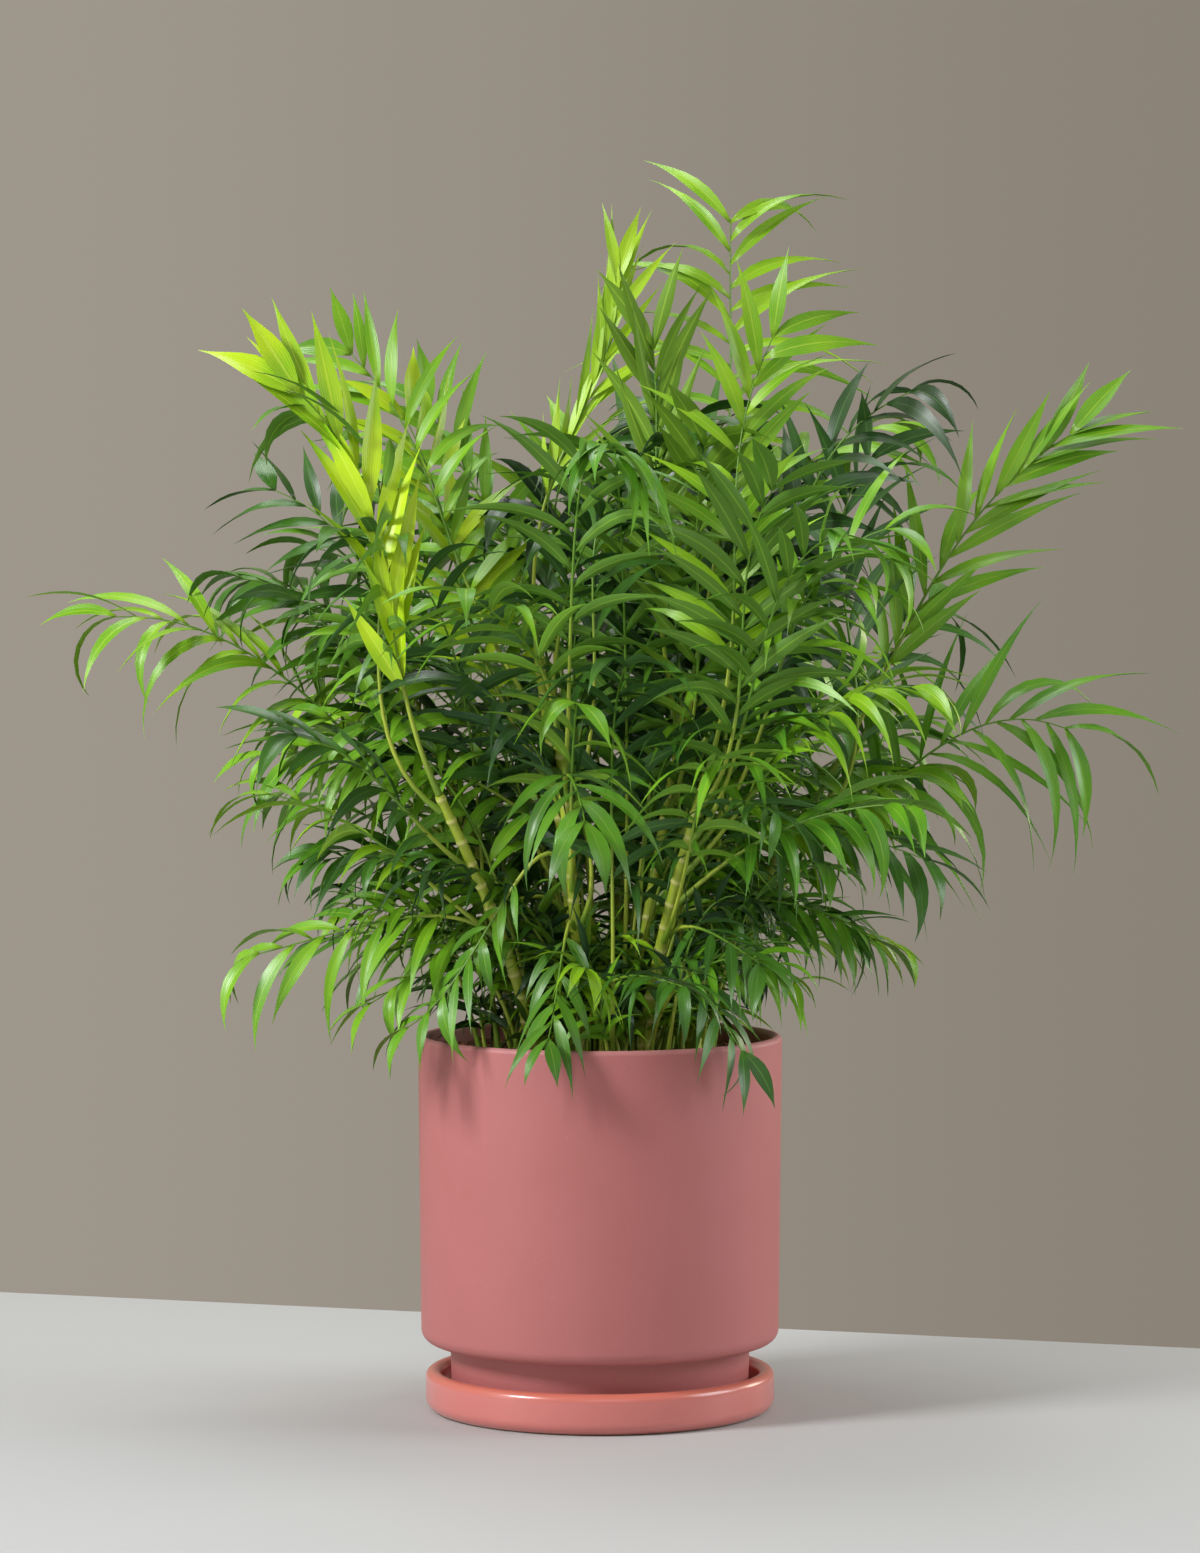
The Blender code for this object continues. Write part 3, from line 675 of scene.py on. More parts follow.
    @staticmethod
    def gap_between(a: np.ndarray, b: np.ndarray) -> float:
        """Measures the gap between two chains of points, each stretch against each.

        Args:
            a: One chain.
            b: The other.

        Returns:
            The smallest distance between them.
        """
        p, u = a[:-1, None], (a[1:] - a[:-1])[:, None]
        q, v = b[None, :-1], (b[1:] - b[:-1])[None]
        w = p - q
        uu, vv, uv = (u * u).sum(-1), (v * v).sum(-1), (u * v).sum(-1)
        uw, vw = (u * w).sum(-1), (v * w).sum(-1)
        s = np.clip((uv * vw - vv * uw) / np.maximum(uu * vv - uv * uv, 1e-18), 0.0, 1.0)
        t = np.clip((vw + s * uv) / vv, 0.0, 1.0)
        s = np.clip((t * uv - uw) / uu, 0.0, 1.0)
        return float(np.sqrt(((w + s[..., None] * u - t[..., None] * v) ** 2).sum(-1)).min())

    def grow_frond(self, plan: Plan, cane: Cane, place: float, turn: float) -> Frond:
        """Grows one frond on its cane.

        Args:
            plan: Its plan.
            cane: Its cane.
            place: The share of the cane's height where it leaves.
            turn: The angle by which its tip is turned about its foot to find room.

        Returns:
            The frond.
        """
        centre, along, radius = self.cane_at(cane, place)
        aim = Matrix.Rotation(turn, 3, "Z") @ (plan.tip - centre) + centre
        flat = self.flat_of(aim - centre)
        if place > 0.999:  # at the very tip it carries the cane on
            start, leave = centre + along * (self.seat_gap + self.blade / 4), along
        else:
            off = (flat - along * flat.dot(along)).normalized()
            start = centre + off * (radius + self.seat_gap + self.blade / 2)
            leave = (along + off * self.off_cane).normalized()
        rib = self.rib_curve(start, leave, aim, plan.habit)
        return Frond(plan.name, rib, self.fan_of(rib, flat.cross(UP).normalized(), plan.habit), plan.habit)

    def fan_of(self, rib: np.ndarray, side: Vector, habit: Habit) -> Vector:
        """Finds the way a frond's leaflets spread, so that its blade turns its face to the window.

        Args:
            rib: The frond's rib.
            side: Its level side.
            habit: Its habit, which tells how far it is turned.

        Returns:
            The unit direction.
        """
        along = Vector(rib[-1] - rib[0]).normalized()
        lit = along.cross(WINDOW).normalized()
        if lit.dot(side) < -0.5:
            lit = -lit
        return side.lerp(lit, habit.faced).normalized()

    def grow_fronds(self, canes: list[Cane]) -> list[Frond]:
        """Grows the model's fronds, each turned as little as keeps its rib clear of the others.

        Args:
            canes: The canes.

        Returns:
            The fronds, in the order of their plans.
        """
        plans = self.planned_fronds()
        axes = [np.array(cane.axis) for cane in canes]
        fronds: list[Frond] = []
        for plan, (index, place) in zip(plans, self.share_out(plans, canes)):
            best, best_gap = None, -1.0
            for k in range(self.most_turns):
                turn = self.turn_step * ((k + 1) // 2) * (1 if k % 2 else -1)
                frond = self.grow_frond(plan, canes[index], place, turn)
                others = [other.rib for other in fronds] + axes[:index] + axes[index + 1 :]
                gap = min(self.gap_between(frond.rib, other) for other in others)
                if gap > best_gap:
                    best, best_gap = frond, gap
                if gap > self.rib_clear:
                    break
            fronds.append(best)
        return fronds

    def grow_finer(self, canes: list[Cane], fronds: list[Frond]) -> list[Frond]:
        """Grows the finer fronds: more on the canes, and seedlings that rise from the mix.

        Args:
            canes: The canes.
            fronds: The model's fronds.

        Returns:
            The finer fronds, which stay inside the reach of the model's own.
        """
        draw = random.Random(self.seed + 1)
        inner, outer, seedlings, tufts = (self.tier_plans(tier, draw, math.tau) for tier in FINER)
        raised = (inner + outer)[::2]
        grown = [
            self.grow_frond(plan, canes[index], self.finer_lowest + self.finer_span * place, 0.0)
            for plan, (index, place) in zip(raised, self.share_out(raised, canes))
        ]
        for name, tip, habit in (inner + outer)[1::2] + seedlings + tufts:
            around = self.level(math.atan2(tip.y, tip.x) + draw.uniform(-self.shoot_turn, self.shoot_turn))
            foot = around * draw.uniform(*self.shoots_between) + UP * (self.mix_top - self.shoot_depth)
            leave = (UP + around * draw.uniform(*self.shoot_lean)).normalized()
            rib = self.rib_curve(foot, leave, tip, habit)
            side = self.flat_of(tip - foot).cross(UP)
            grown.append(Frond(name, rib, self.fan_of(rib, side, habit), habit))
        rolled = [self.rolled(frond, draw.uniform(-self.most_roll, self.most_roll)) for frond in grown]
        return [frond for frond in rolled if not self.in_the_way(frond, fronds)]

    def in_the_way(self, frond: Frond, fronds: list[Frond]) -> bool:
        """Tells whether a finer frond hides the foot of the clump, or a frond that faces the window.

        Args:
            frond: The finer frond.
            fronds: The model's fronds.

        Returns:
            Whether it is in the way.
        """
        near = frond.rib[len(frond.rib) // 2 :]
        left, right, low, high = self.stem_window
        x, y, z = near.T
        inside = (x > left) & (x < right) & (z > low) & (z < high) & (y < self.stem_window_front)
        if inside.mean() > 0.5:
            return True
        for other in fronds:
            if other.habit.faced < self.square_on:
                continue
            off = near[:, None] - other.rib[None, len(other.rib) // 8 :]
            if ((np.hypot(off[..., 0], off[..., 2]) < self.view_clear) & (off[..., 1] < 0)).any():
                return True
        return False

    @staticmethod
    def rolled(frond: Frond, turn: float) -> Frond:
        """Rolls a frond about its rib by an angle."""
        along = Vector(frond.rib[-1] - frond.rib[0]).normalized()
        return frond._replace(fan=Matrix.Rotation(turn, 3, along) @ frond.fan)


@dataclass(frozen=True)
class LeafSkin:
    """Living leaf with a waxy cuticle: a satin face, long parallel veins and a paler midrib."""

    tint: Tint
    blade: str
    shade: str
    vein: str
    under: str
    roughness: float = 0.36
    under_roughness: float = 0.58
    young_coat: float = 0.08
    old_coat: float = 0.20
    coat_roughness: float = 0.26
    veins: int = 9  # fewer than a real leaflet's, as finer ones don't show
    vein_share: float = 0.38
    vein_strength: float = 0.3
    vein_depth: float = 0.0001
    foot_reach: float = 0.22
    foot_share: float = 0.5
    midrib_flat: float = 0.015
    cloud_mm: float = 55.0

    def face(self) -> Material:
        """Makes the upper face's material, with its veins along the leaflet's own layout.

        Returns:
            The material.
        """
        made, shader = new_material(
            f"waxy_leaf_face_{self.tint.value}",
            Roughness=self.roughness,
            Coat_Weight=self.young_coat if self.tint in (LIME, FRESH) else self.old_coat,
            Coat_Roughness=self.coat_roughness,
            Specular_IOR_Level=0.4,
        )
        tree = made.node_tree
        spot = self.spot(tree)
        turn = {0: spot["X"], 1: math.tau * self.veins}
        turned_by = add_node(tree, "ShaderNodeMath", turn, operation="MULTIPLY").outputs[0]
        wave = add_node(tree, "ShaderNodeMath", {0: turned_by}, operation="COSINE").outputs[0]
        lines = {0: wave, 1: 0.2, 2: 1.0, 3: 0.0, 4: self.vein_share}
        foot = {0: spot["Y"], 1: 0.0, 2: self.foot_reach, 3: self.foot_share, 4: 0.0}
        pale = self.midrib(tree, spot["X"], reach=0.05, most=0.75)
        for ramp in (lines, foot):
            share = add_node(tree, "ShaderNodeMapRange", ramp).outputs[0]
            pale = add_node(tree, "ShaderNodeMath", {0: share, 1: pale}, operation="MAXIMUM").outputs[0]
        place = add_node(tree, "ShaderNodeTexCoord").outputs["Object"]
        drift = {"Vector": place, "Scale": 1000 / self.cloud_mm, "Detail": 1.0}
        cloud = add_node(tree, "ShaderNodeTexNoise", drift).outputs["Fac"]
        aged = add_node(tree, "ShaderNodeMapRange", {0: cloud, 1: 0.38, 2: 0.62}).outputs[0]
        layers = ((aged, self.shade), (pale, self.vein))
        paint(shader, self.blade, layers, (wave, self.vein_strength, self.vein_depth))
        return made

    def underside(self) -> Material:
        """Makes the paler, duller underside's material.

        Returns:
            The material.
        """
        name = f"waxy_leaf_underside_{self.tint.value}"
        made, shader = new_material(name, Roughness=self.under_roughness, Specular_IOR_Level=0.35)
        tree = made.node_tree
        pale = self.midrib(tree, self.spot(tree)["X"], reach=0.07, most=0.8)
        paint(shader, self.under, ((pale, self.vein),))
        return made

    @staticmethod
    def spot(tree: NodeTree) -> Any:
        """The place on the leaflet: X across it and Y along it, each from 0 to 1."""
        layout = add_node(tree, "ShaderNodeUVMap", uv_map=LEAF_UV).outputs["UV"]
        return add_node(tree, "ShaderNodeSeparateXYZ", {0: layout}).outputs

    def midrib(self, tree: NodeTree, across: NodeSocket, reach: float, most: float) -> NodeSocket:
        """Works out where the midrib's paler colour shows.

        Args:
            tree: The material's tree.
            across: The place across the leaflet.
            reach: How far from the middle the midrib fades out.
            most: How much of its colour shows in the middle.

        Returns:
            The share of the midrib's colour.
        """
        off = add_node(tree, "ShaderNodeMath", {0: across, 1: 0.5}, operation="SUBTRACT").outputs[0]
        away = add_node(tree, "ShaderNodeMath", {0: off}, operation="ABSOLUTE").outputs[0]
        fade = {0: away, 1: self.midrib_flat, 2: reach, 3: most, 4: 0.0}
        return add_node(tree, "ShaderNodeMapRange", fade).outputs[0]


# Young leaves are yellower; each green comes in two shades, dealt out frond by frond. The darker ones
# partly serve as painted shade for fronds deep in the crown.
LEAF_SKINS = (
    LeafSkin(LIME, "#b8dc0e", "#88c016", "#cce648", "#9cc820"),
    LeafSkin(LIME, "#a0cc14", "#78b01a", "#bcdc44", "#8cb828"),
    LeafSkin(FRESH, "#8cc016", "#64a012", "#a8cc3c", "#78a224"),
    LeafSkin(FRESH, "#76b016", "#549014", "#98be38", "#6c9624"),
    LeafSkin(MID, "#78b41a", "#509018", "#98c034", "#689828"),
    LeafSkin(MID, "#64a41a", "#428218", "#86b236", "#5c8a2a"),
    LeafSkin(DEEP, "#528e16", "#326616", "#729634", "#4a7428"),
    LeafSkin(DEEP, "#467e1c", "#2e5c1e", "#669440", "#426c32"),
    LeafSkin(DARK, "#3a6e18", "#244c16", "#528030", "#365c24"),
    # the darkest skin, partly painted shade for the crown's inside
    LeafSkin(DARK, "#284e1a", "#1a3416", "#467236", "#2c4c2a"),
)


@dataclass(frozen=True)
class StemSkin:
    """Smooth living stem: satin, mottled, and paler on the ring scars where old fronds sat."""

    name: str
    green: str
    shade: str
    ring: str
    mottle_mm: float
    relief_strength: float = 0.25
    relief_depth: float = 0.0004

    def material(self) -> Material:
        """Makes the material.

        Returns:
            The material, which reads Object coordinates and the stem's own ring attribute.
        """
        made, shader = new_material(self.name, Roughness=0.42, Coat_Weight=0.1, Coat_Roughness=0.4)
        tree = made.node_tree
        place = add_node(tree, "ShaderNodeTexCoord").outputs["Object"]
        mottle = {"Vector": place, "Scale": 1000 / self.mottle_mm, "Detail": 2.0, "Roughness": 0.55}
        cloud = add_node(tree, "ShaderNodeTexNoise", mottle).outputs["Fac"]
        rings = add_node(tree, "ShaderNodeAttribute", attribute_name="ring").outputs["Fac"]
        layers = ((cloud, self.shade), (rings, self.ring))
        paint(shader, self.green, layers, (cloud, self.relief_strength, self.relief_depth))
        return made


@dataclass(frozen=True)
class Stoneware:
    """Glazed stoneware: a faint orange peel, soft mottling and fine specks of iron in the glaze."""

    name: str
    glaze: Glaze
    body: str
    shade: str
    edge: str
    clay: str
    edge_above: float
    clay_below: float
    edge_fade: float = 0.004
    clay_fade: float = 0.0008
    mottle_mm: float = 45.0
    speck_mm: float = 1.6  # coarser than real iron specks, so that they show
    speck_share: float = 0.25
    edge_share: float = 0.7
    peel_mm: float = 3.0
    peel_depth: float = 0.0004

    def material(self) -> Material:
        """Makes the glaze's material.

        Returns:
            The material, with the edge colour along the rim, which on the pot is a painted highlight, and
            bare along the foot.
        """
        roughness, coat, peel_strength = self.glaze.value
        made, shader = new_material(
            self.name, Roughness=roughness, Coat_Weight=coat, Coat_Roughness=0.18, Specular_IOR_Level=0.5
        )
        tree = made.node_tree
        place = add_node(tree, "ShaderNodeTexCoord").outputs["Object"]
        height = add_node(tree, "ShaderNodeSeparateXYZ", {0: place}).outputs["Z"]
        mottle, speck, peel = (
            add_node(
                tree,
                "ShaderNodeTexNoise",
                {"Vector": place, "Scale": 1000 / size_mm, "Detail": detail, "Roughness": rough},
            ).outputs["Fac"]
            for size_mm, detail, rough in (
                (self.mottle_mm, 3.0, 0.5),
                (self.speck_mm, 1.0, 0.5),
                (self.peel_mm, 2.0, 0.6),
            )
        )
        dots, rim, foot = (
            add_node(tree, "ShaderNodeMapRange", dict(enumerate(ramp))).outputs[0]
            for ramp in (
                (speck, 0.70, 0.78, 0.0, self.speck_share),
                # the band along the rim, which on the pot is a painted highlight along its lip
                (height, self.edge_above, self.edge_above + self.edge_fade, 0.0, self.edge_share),
                (height, self.clay_below, self.clay_below + self.clay_fade, 1.0, 0.0),
            )
        )
        layers = ((mottle, self.shade), (dots, self.edge), (rim, self.edge), (foot, self.clay))
        paint(shader, self.body, layers, (peel, peel_strength, self.peel_depth))
        return made


@dataclass(frozen=True)
class BarkMix:
    """Moist bark and coir: crumbly and red-brown on its chips, almost black in its hollows, partly its own
    dark colour and partly painted shade.
    """

    name: str
    dark: str
    light: str
    grain_mm: float
    relief_strength: float = 0.7
    relief_depth: float = 0.0012

    def material(self) -> Material:
        """Makes the material.

        Returns:
            The material, on Object coordinates.
        """
        made, shader = new_material(self.name, Roughness=0.92, Specular_IOR_Level=0.25)
        tree = made.node_tree
        place = add_node(tree, "ShaderNodeTexCoord").outputs["Object"]
        crumbs = {"Vector": place, "Scale": 1000 / self.grain_mm, "Detail": 4.0, "Roughness": 0.65}
        grain = add_node(tree, "ShaderNodeTexNoise", crumbs).outputs["Fac"]
        # the darker colour goes where the relief is low: partly the coir's own dark, partly painted shade
        # in the hollows
        share = add_node(tree, "ShaderNodeMapRange", {0: grain, 1: 0.35, 2: 0.68}).outputs[0]
        relief = (grain, self.relief_strength, self.relief_depth)
        paint(shader, self.dark, ((share, self.light),), relief)
        return made


def arc(
    centre: tuple[float, float], radius: float, start: float, end: float, points: int
) -> list[tuple[float, float]]:
    """Points of an arc in the profile plane.

    Args:
        centre: Its centre, as radius and height.
        radius: Its radius.
        start: Its first angle in degrees, from outward towards up.
        end: Its last angle.
        points: How many points it has.

    Returns:
        The points, as radius and height.
    """
    turns = [math.radians(start + (end - start) * i / (points - 1)) for i in range(points)]
    return [(centre[0] + radius * math.cos(a), centre[1] + radius * math.sin(a)) for a in turns]


def turned(name: str, profile: Sequence[tuple[float, float]], steps: int) -> Object:
    """Turns a profile that runs down its outer side into a closed smooth mesh.

    Args:
        name: The piece's name.
        profile: Its points, as radius and height.
        steps: How many steps the turn has.

    Returns:
        The piece, with a plain mesh.
    """
    points = [(radius, 0.0, height) for radius, height in profile]
    edges = [(i, i + 1) for i in range(len(points) - 1)]
    made = link_new(name + "_profile", new_mesh(name, points, edges))
    screw = made.modifiers.new("Turn", "SCREW")
    screw.steps = screw.render_steps = steps
    screw.use_merge_vertices = True
    screw.merge_threshold = 0.0001
    screw.use_smooth_shade = True
    piece = plain_mesh(made, name)
    piece.data.shade_smooth()
    piece.data.set_sharp_from_angle(angle=math.radians(40))
    return piece


@dataclass
class Pot:
    """The pot: a wide cylinder with a rounded lip over a narrower foot."""

    radius: float = 0.125
    radius_low: float = 0.123
    bottom: float = 0.0103
    shoulder: float = 0.047
    rim: float = 0.258
    wall: float = 0.007
    foot_radius: float = 0.103
    foot_round: float = 0.002
    edge_round: float = 0.009
    floor: float = 0.020
    floor_round: float = 0.006
    # how far down from the rim the painted lip highlight reaches
    pale_lip: float = 0.0035
    steps: int = 144

    def inner_profile(self) -> list[tuple[float, float]]:
        """Draws the inner face, from the middle of the floor up to below the lip.

        Returns:
            Its points, as radius and height.
        """
        foot = self.foot_radius - self.wall
        low = self.radius_low - self.wall
        bend = foot - self.floor_round
        return [
            (0.0, self.floor),
            (bend, self.floor),
            *arc((bend, self.floor + self.floor_round), self.floor_round, -60, 0, 3),
            (foot, self.shoulder + self.wall * 0.5),
            (low - 0.004, self.shoulder + self.wall + 0.002),
            (low, self.shoulder + self.wall + 0.007),
        ]

    def profile(self) -> list[tuple[float, float]]:
        """Draws the whole profile: up the inside, over the lip, down the outside and in to the base.

        Returns:
            Its points, as radius and height.
        """
        lip = arc((self.radius - self.wall / 2, self.rim - self.wall / 2), self.wall / 2, 180, 0, 15)
        centre = (self.radius_low - self.edge_round, self.shoulder + self.edge_round)
        edge = arc(centre, self.edge_round, 0, -90, 12)
        small = self.foot_round
        foot = [
            *arc((self.foot_radius + small, self.shoulder - small), small, 90, 180, 5),
            (self.foot_radius - 0.001, self.bottom + small),
            *arc((self.foot_radius - 0.003, self.bottom + small), small, 0, -90, 4),
            (0.0, self.bottom),
        ]
        return self.inner_profile() + lip + edge + foot

    def build(self) -> Object:
        """Builds the pot and dresses it.

        Returns:
            The finished piece.
        """
        piece = turned("pot_body", self.profile(), self.steps)
        # the third colour is a painted highlight along the lip, paler than the glaze
        colours = ("#b86f6e", "#b16966", "#cd9290", "#b86f6e")
        finish = Stoneware("matte_glazed_stoneware", Glaze.MATTE, *colours, self.rim - self.pale_lip, 0.0)
        piece.data.materials.append(finish.material())
        return settle(piece, "pot", ["pot"])


@dataclass
class Saucer:
    """The saucer: a shallow dish with a fat round rim and a bare clay foot line."""

    radius: float = 0.120
    height: float = 0.028
    wall: float = 0.011
    floor: float = 0.010
    floor_round: float = 0.003
    chamfer: float = 0.009
    pale_rim: float = 0.006
    clay_line: float = 0.0006
    steps: int = 144

    def profile(self) -> list[tuple[float, float]]:
        """Draws the profile: from the floor up to the rim, down the outside and under to the base.

        Returns:
            Its points, as radius and height.
        """
        rim_round = self.wall / 2
        bend = self.radius - self.wall - self.floor_round
        return [
            (0.0, self.floor),
            (bend, self.floor),
            *arc((bend, self.floor + self.floor_round), self.floor_round, -60, 0, 4),
            *arc((self.radius - rim_round, self.height - rim_round), rim_round, 180, 0, 17),
            (self.radius, self.chamfer),
            *arc((self.radius - self.chamfer, self.chamfer), self.chamfer, -10, -72, 8),
            (self.radius - self.chamfer, 0.0),
            (0.0, 0.0),
        ]

    def build(self) -> Object:
        """Builds the saucer and dresses it.

        Returns:
            The finished piece.
        """
        piece = turned("saucer_dish", self.profile(), self.steps)
        colours = ("#d37d77", "#ca746e", "#d2725c", "#c9a27e")
        pale_above = self.height - self.pale_rim
        finish = Stoneware("satin_glazed_stoneware", Glaze.SATIN, *colours, pale_above, self.clay_line)
        piece.data.materials.append(finish.material())
        return settle(piece, "saucer", ["saucer"])


@dataclass
class PottingMix:
    """The potting mix in the pot: an uneven bed with bark chips strewn over it."""

    pot: Pot
    top: float = 0.246
    edge_drop: float = 0.003
    gap: float = 0.0003
    relief: float = 0.0022
    lumps_per_m: float = 70.0
    crumbs_per_m: float = 190.0
    crumb_share: float = 0.6
    rings: int = 44
    steps: int = 120
    chips_per_m2: float = 26000.0
    chip_size: float = 0.0048
    chip_scales: tuple[float, float] = (0.35, 1.5)
    chip_tilt: float = 0.5
    chips_above: float = 0.240
    chip_shapes: tuple[tuple, ...] = ((1.0, 0.55, 0.28), (0.8, 0.7, 0.4), (1.3, 0.4, 0.3))
    chip_wear: tuple[float, float] = (0.6, 1.1)
    seed: int = 5

    def profile(self) -> list[tuple[float, float]]:
        """Draws the bed's top in fine rings, then goes down the pot's inner face to its floor.

        Returns:
            Its points, as radius and height.
        """
        low = self.pot.inner_profile()
        rim_face = self.pot.rim - self.pot.wall / 2
        climb = (self.top - self.edge_drop - low[-1][1]) / (rim_face - low[-1][1])
        edge = low[-1][0] + climb * (self.pot.radius - self.pot.radius_low)
        top = [(edge * k / self.rings, self.top) for k in range(self.rings)]
        wall = [(radius - self.gap, height + self.gap) for radius, height in reversed(low[1:])]
        corner, middle = (edge - self.gap, self.top - self.edge_drop), (0.0, self.pot.floor + self.gap)
        return top + [corner] + wall + [middle]

    def bed(self) -> Object:
        """Builds the bed and roughens its top.

        Returns:
            The bed.
        """
        piece = turned("potting_mix_bed", self.profile(), self.steps)
        lowest = self.top - self.edge_drop * 1.5
        for vertex in piece.data.vertices:
            if vertex.co.z > lowest:
                lump = noise.noise(vertex.co * self.lumps_per_m)
                crumb = noise.noise(vertex.co * self.crumbs_per_m)
                vertex.co.z += self.relief * (lump + self.crumb_share * crumb)
        return piece

    def chip(self, number: int, shape: tuple[float, float, float]) -> Mesh:
        """Makes one bark chip, a rough broken flake.

        Args:
            number: The chip's number.
            shape: Its length, width and thickness.

        Returns:
            The chip's mesh.
        """
        name = f"bark_chip_shape_{number}"
        draw = random.Random(name)
        corners = [
            tuple(side * size * draw.uniform(*self.chip_wear) / 2 for side, size in zip(corner, shape))
            for corner in BOX_CORNERS
        ]
        return new_mesh(name, corners, [], BOX_FACES)

    def strew(self, bed: Object, finish: Material) -> Object:
        """Strews bark chips over the bed with Geometry Nodes.

        Args:
            bed: The bed.
            finish: The chips' material.

        Returns:
            The chips, as one plain mesh.
        """
        shapes = [self.chip(i + 1, shape) for i, shape in enumerate(self.chip_shapes)]
        chips = shape_store("bark_chip_shapes", shapes)
        inputs = {"Density": "Float", "Chip Size": "Float", "Lowest": "Float", "Finish": "Material"}
        tree, start = new_tree("Strewn bark chips", inputs)
        place = add_node(tree, "GeometryNodeInputPosition").outputs[0]
        height = add_node(tree, "ShaderNodeSeparateXYZ", {0: place}).outputs["Z"]
        links = {0: height, 1: start["Lowest"]}
        above = add_node(tree, "FunctionNodeCompare", links, operation="GREATER_THAN").outputs[0]
        links = {"Mesh": start[0], "Selection": above, "Density": start["Density"], "Seed": self.seed}
        spots = add_node(tree, "GeometryNodeDistributePointsOnFaces", links).outputs["Points"]
        links = {"Collection": chips, "Separate Children": True, "Reset Children": True}
        flakes = add_node(tree, "GeometryNodeCollectionInfo", links).outputs[0]
        tilt = self.chip_tilt
        links = {0: (-tilt, -tilt, 0.0), 1: (tilt, tilt, math.tau), "Seed": self.seed + 1}
        turn = add_node(tree, "FunctionNodeRandomValue", links, data_type="FLOAT_VECTOR").outputs[0]
        links = {2: self.chip_scales[0], 3: self.chip_scales[1], "Seed": self.seed + 2}
        size = add_node(tree, "FunctionNodeRandomValue", links, data_type="FLOAT").outputs[1]
        links = {0: size, 1: start["Chip Size"]}
        scale = add_node(tree, "ShaderNodeMath", links, operation="MULTIPLY").outputs[0]
        links = {"Points": spots, "Instance": flakes, "Pick Instance": True}
        links = {**links, "Rotation": turn, "Scale": scale}
        placed = add_node(tree, "GeometryNodeInstanceOnPoints", links).outputs[0]
        real = add_node(tree, "GeometryNodeRealizeInstances", {0: placed}).outputs[0]
        links = {"Geometry": real, "Material": start["Finish"]}
        add_node(tree, "NodeGroupOutput", {0: add_node(tree, "GeometryNodeSetMaterial", links).outputs[0]})
        ground = bed.data.copy()
        ground.materials.clear()
        values = {"Density": self.chips_per_m2, "Chip Size": self.chip_size, "Lowest": self.chips_above}
        piece = run_tree("bark_chips", ground, tree, {**values, "Finish": finish})
        clear_store(chips)
        return piece

    def build(self) -> list[Object]:
        """Builds the bed and its chips and dresses them.

        Returns:
            The finished pieces.
        """
        bed = self.bed()
        bed.data.materials.append(BarkMix("moist_coir_mix", "#38261b", "#7c5439", 2.2).material())
        chips = self.strew(bed, BarkMix("composted_pine_bark", "#4e2e1e", "#a87250", 3.5).material())
        return [settle(bed, "potting_mix", ["potting_mix"]), settle(chips, "potting_mix", [])]


class Chain(NamedTuple):
    """The line that a tube follows, its radius at each point, and how much of a ring scar shows there."""

    points: np.ndarray
    radii: np.ndarray
    ring: np.ndarray


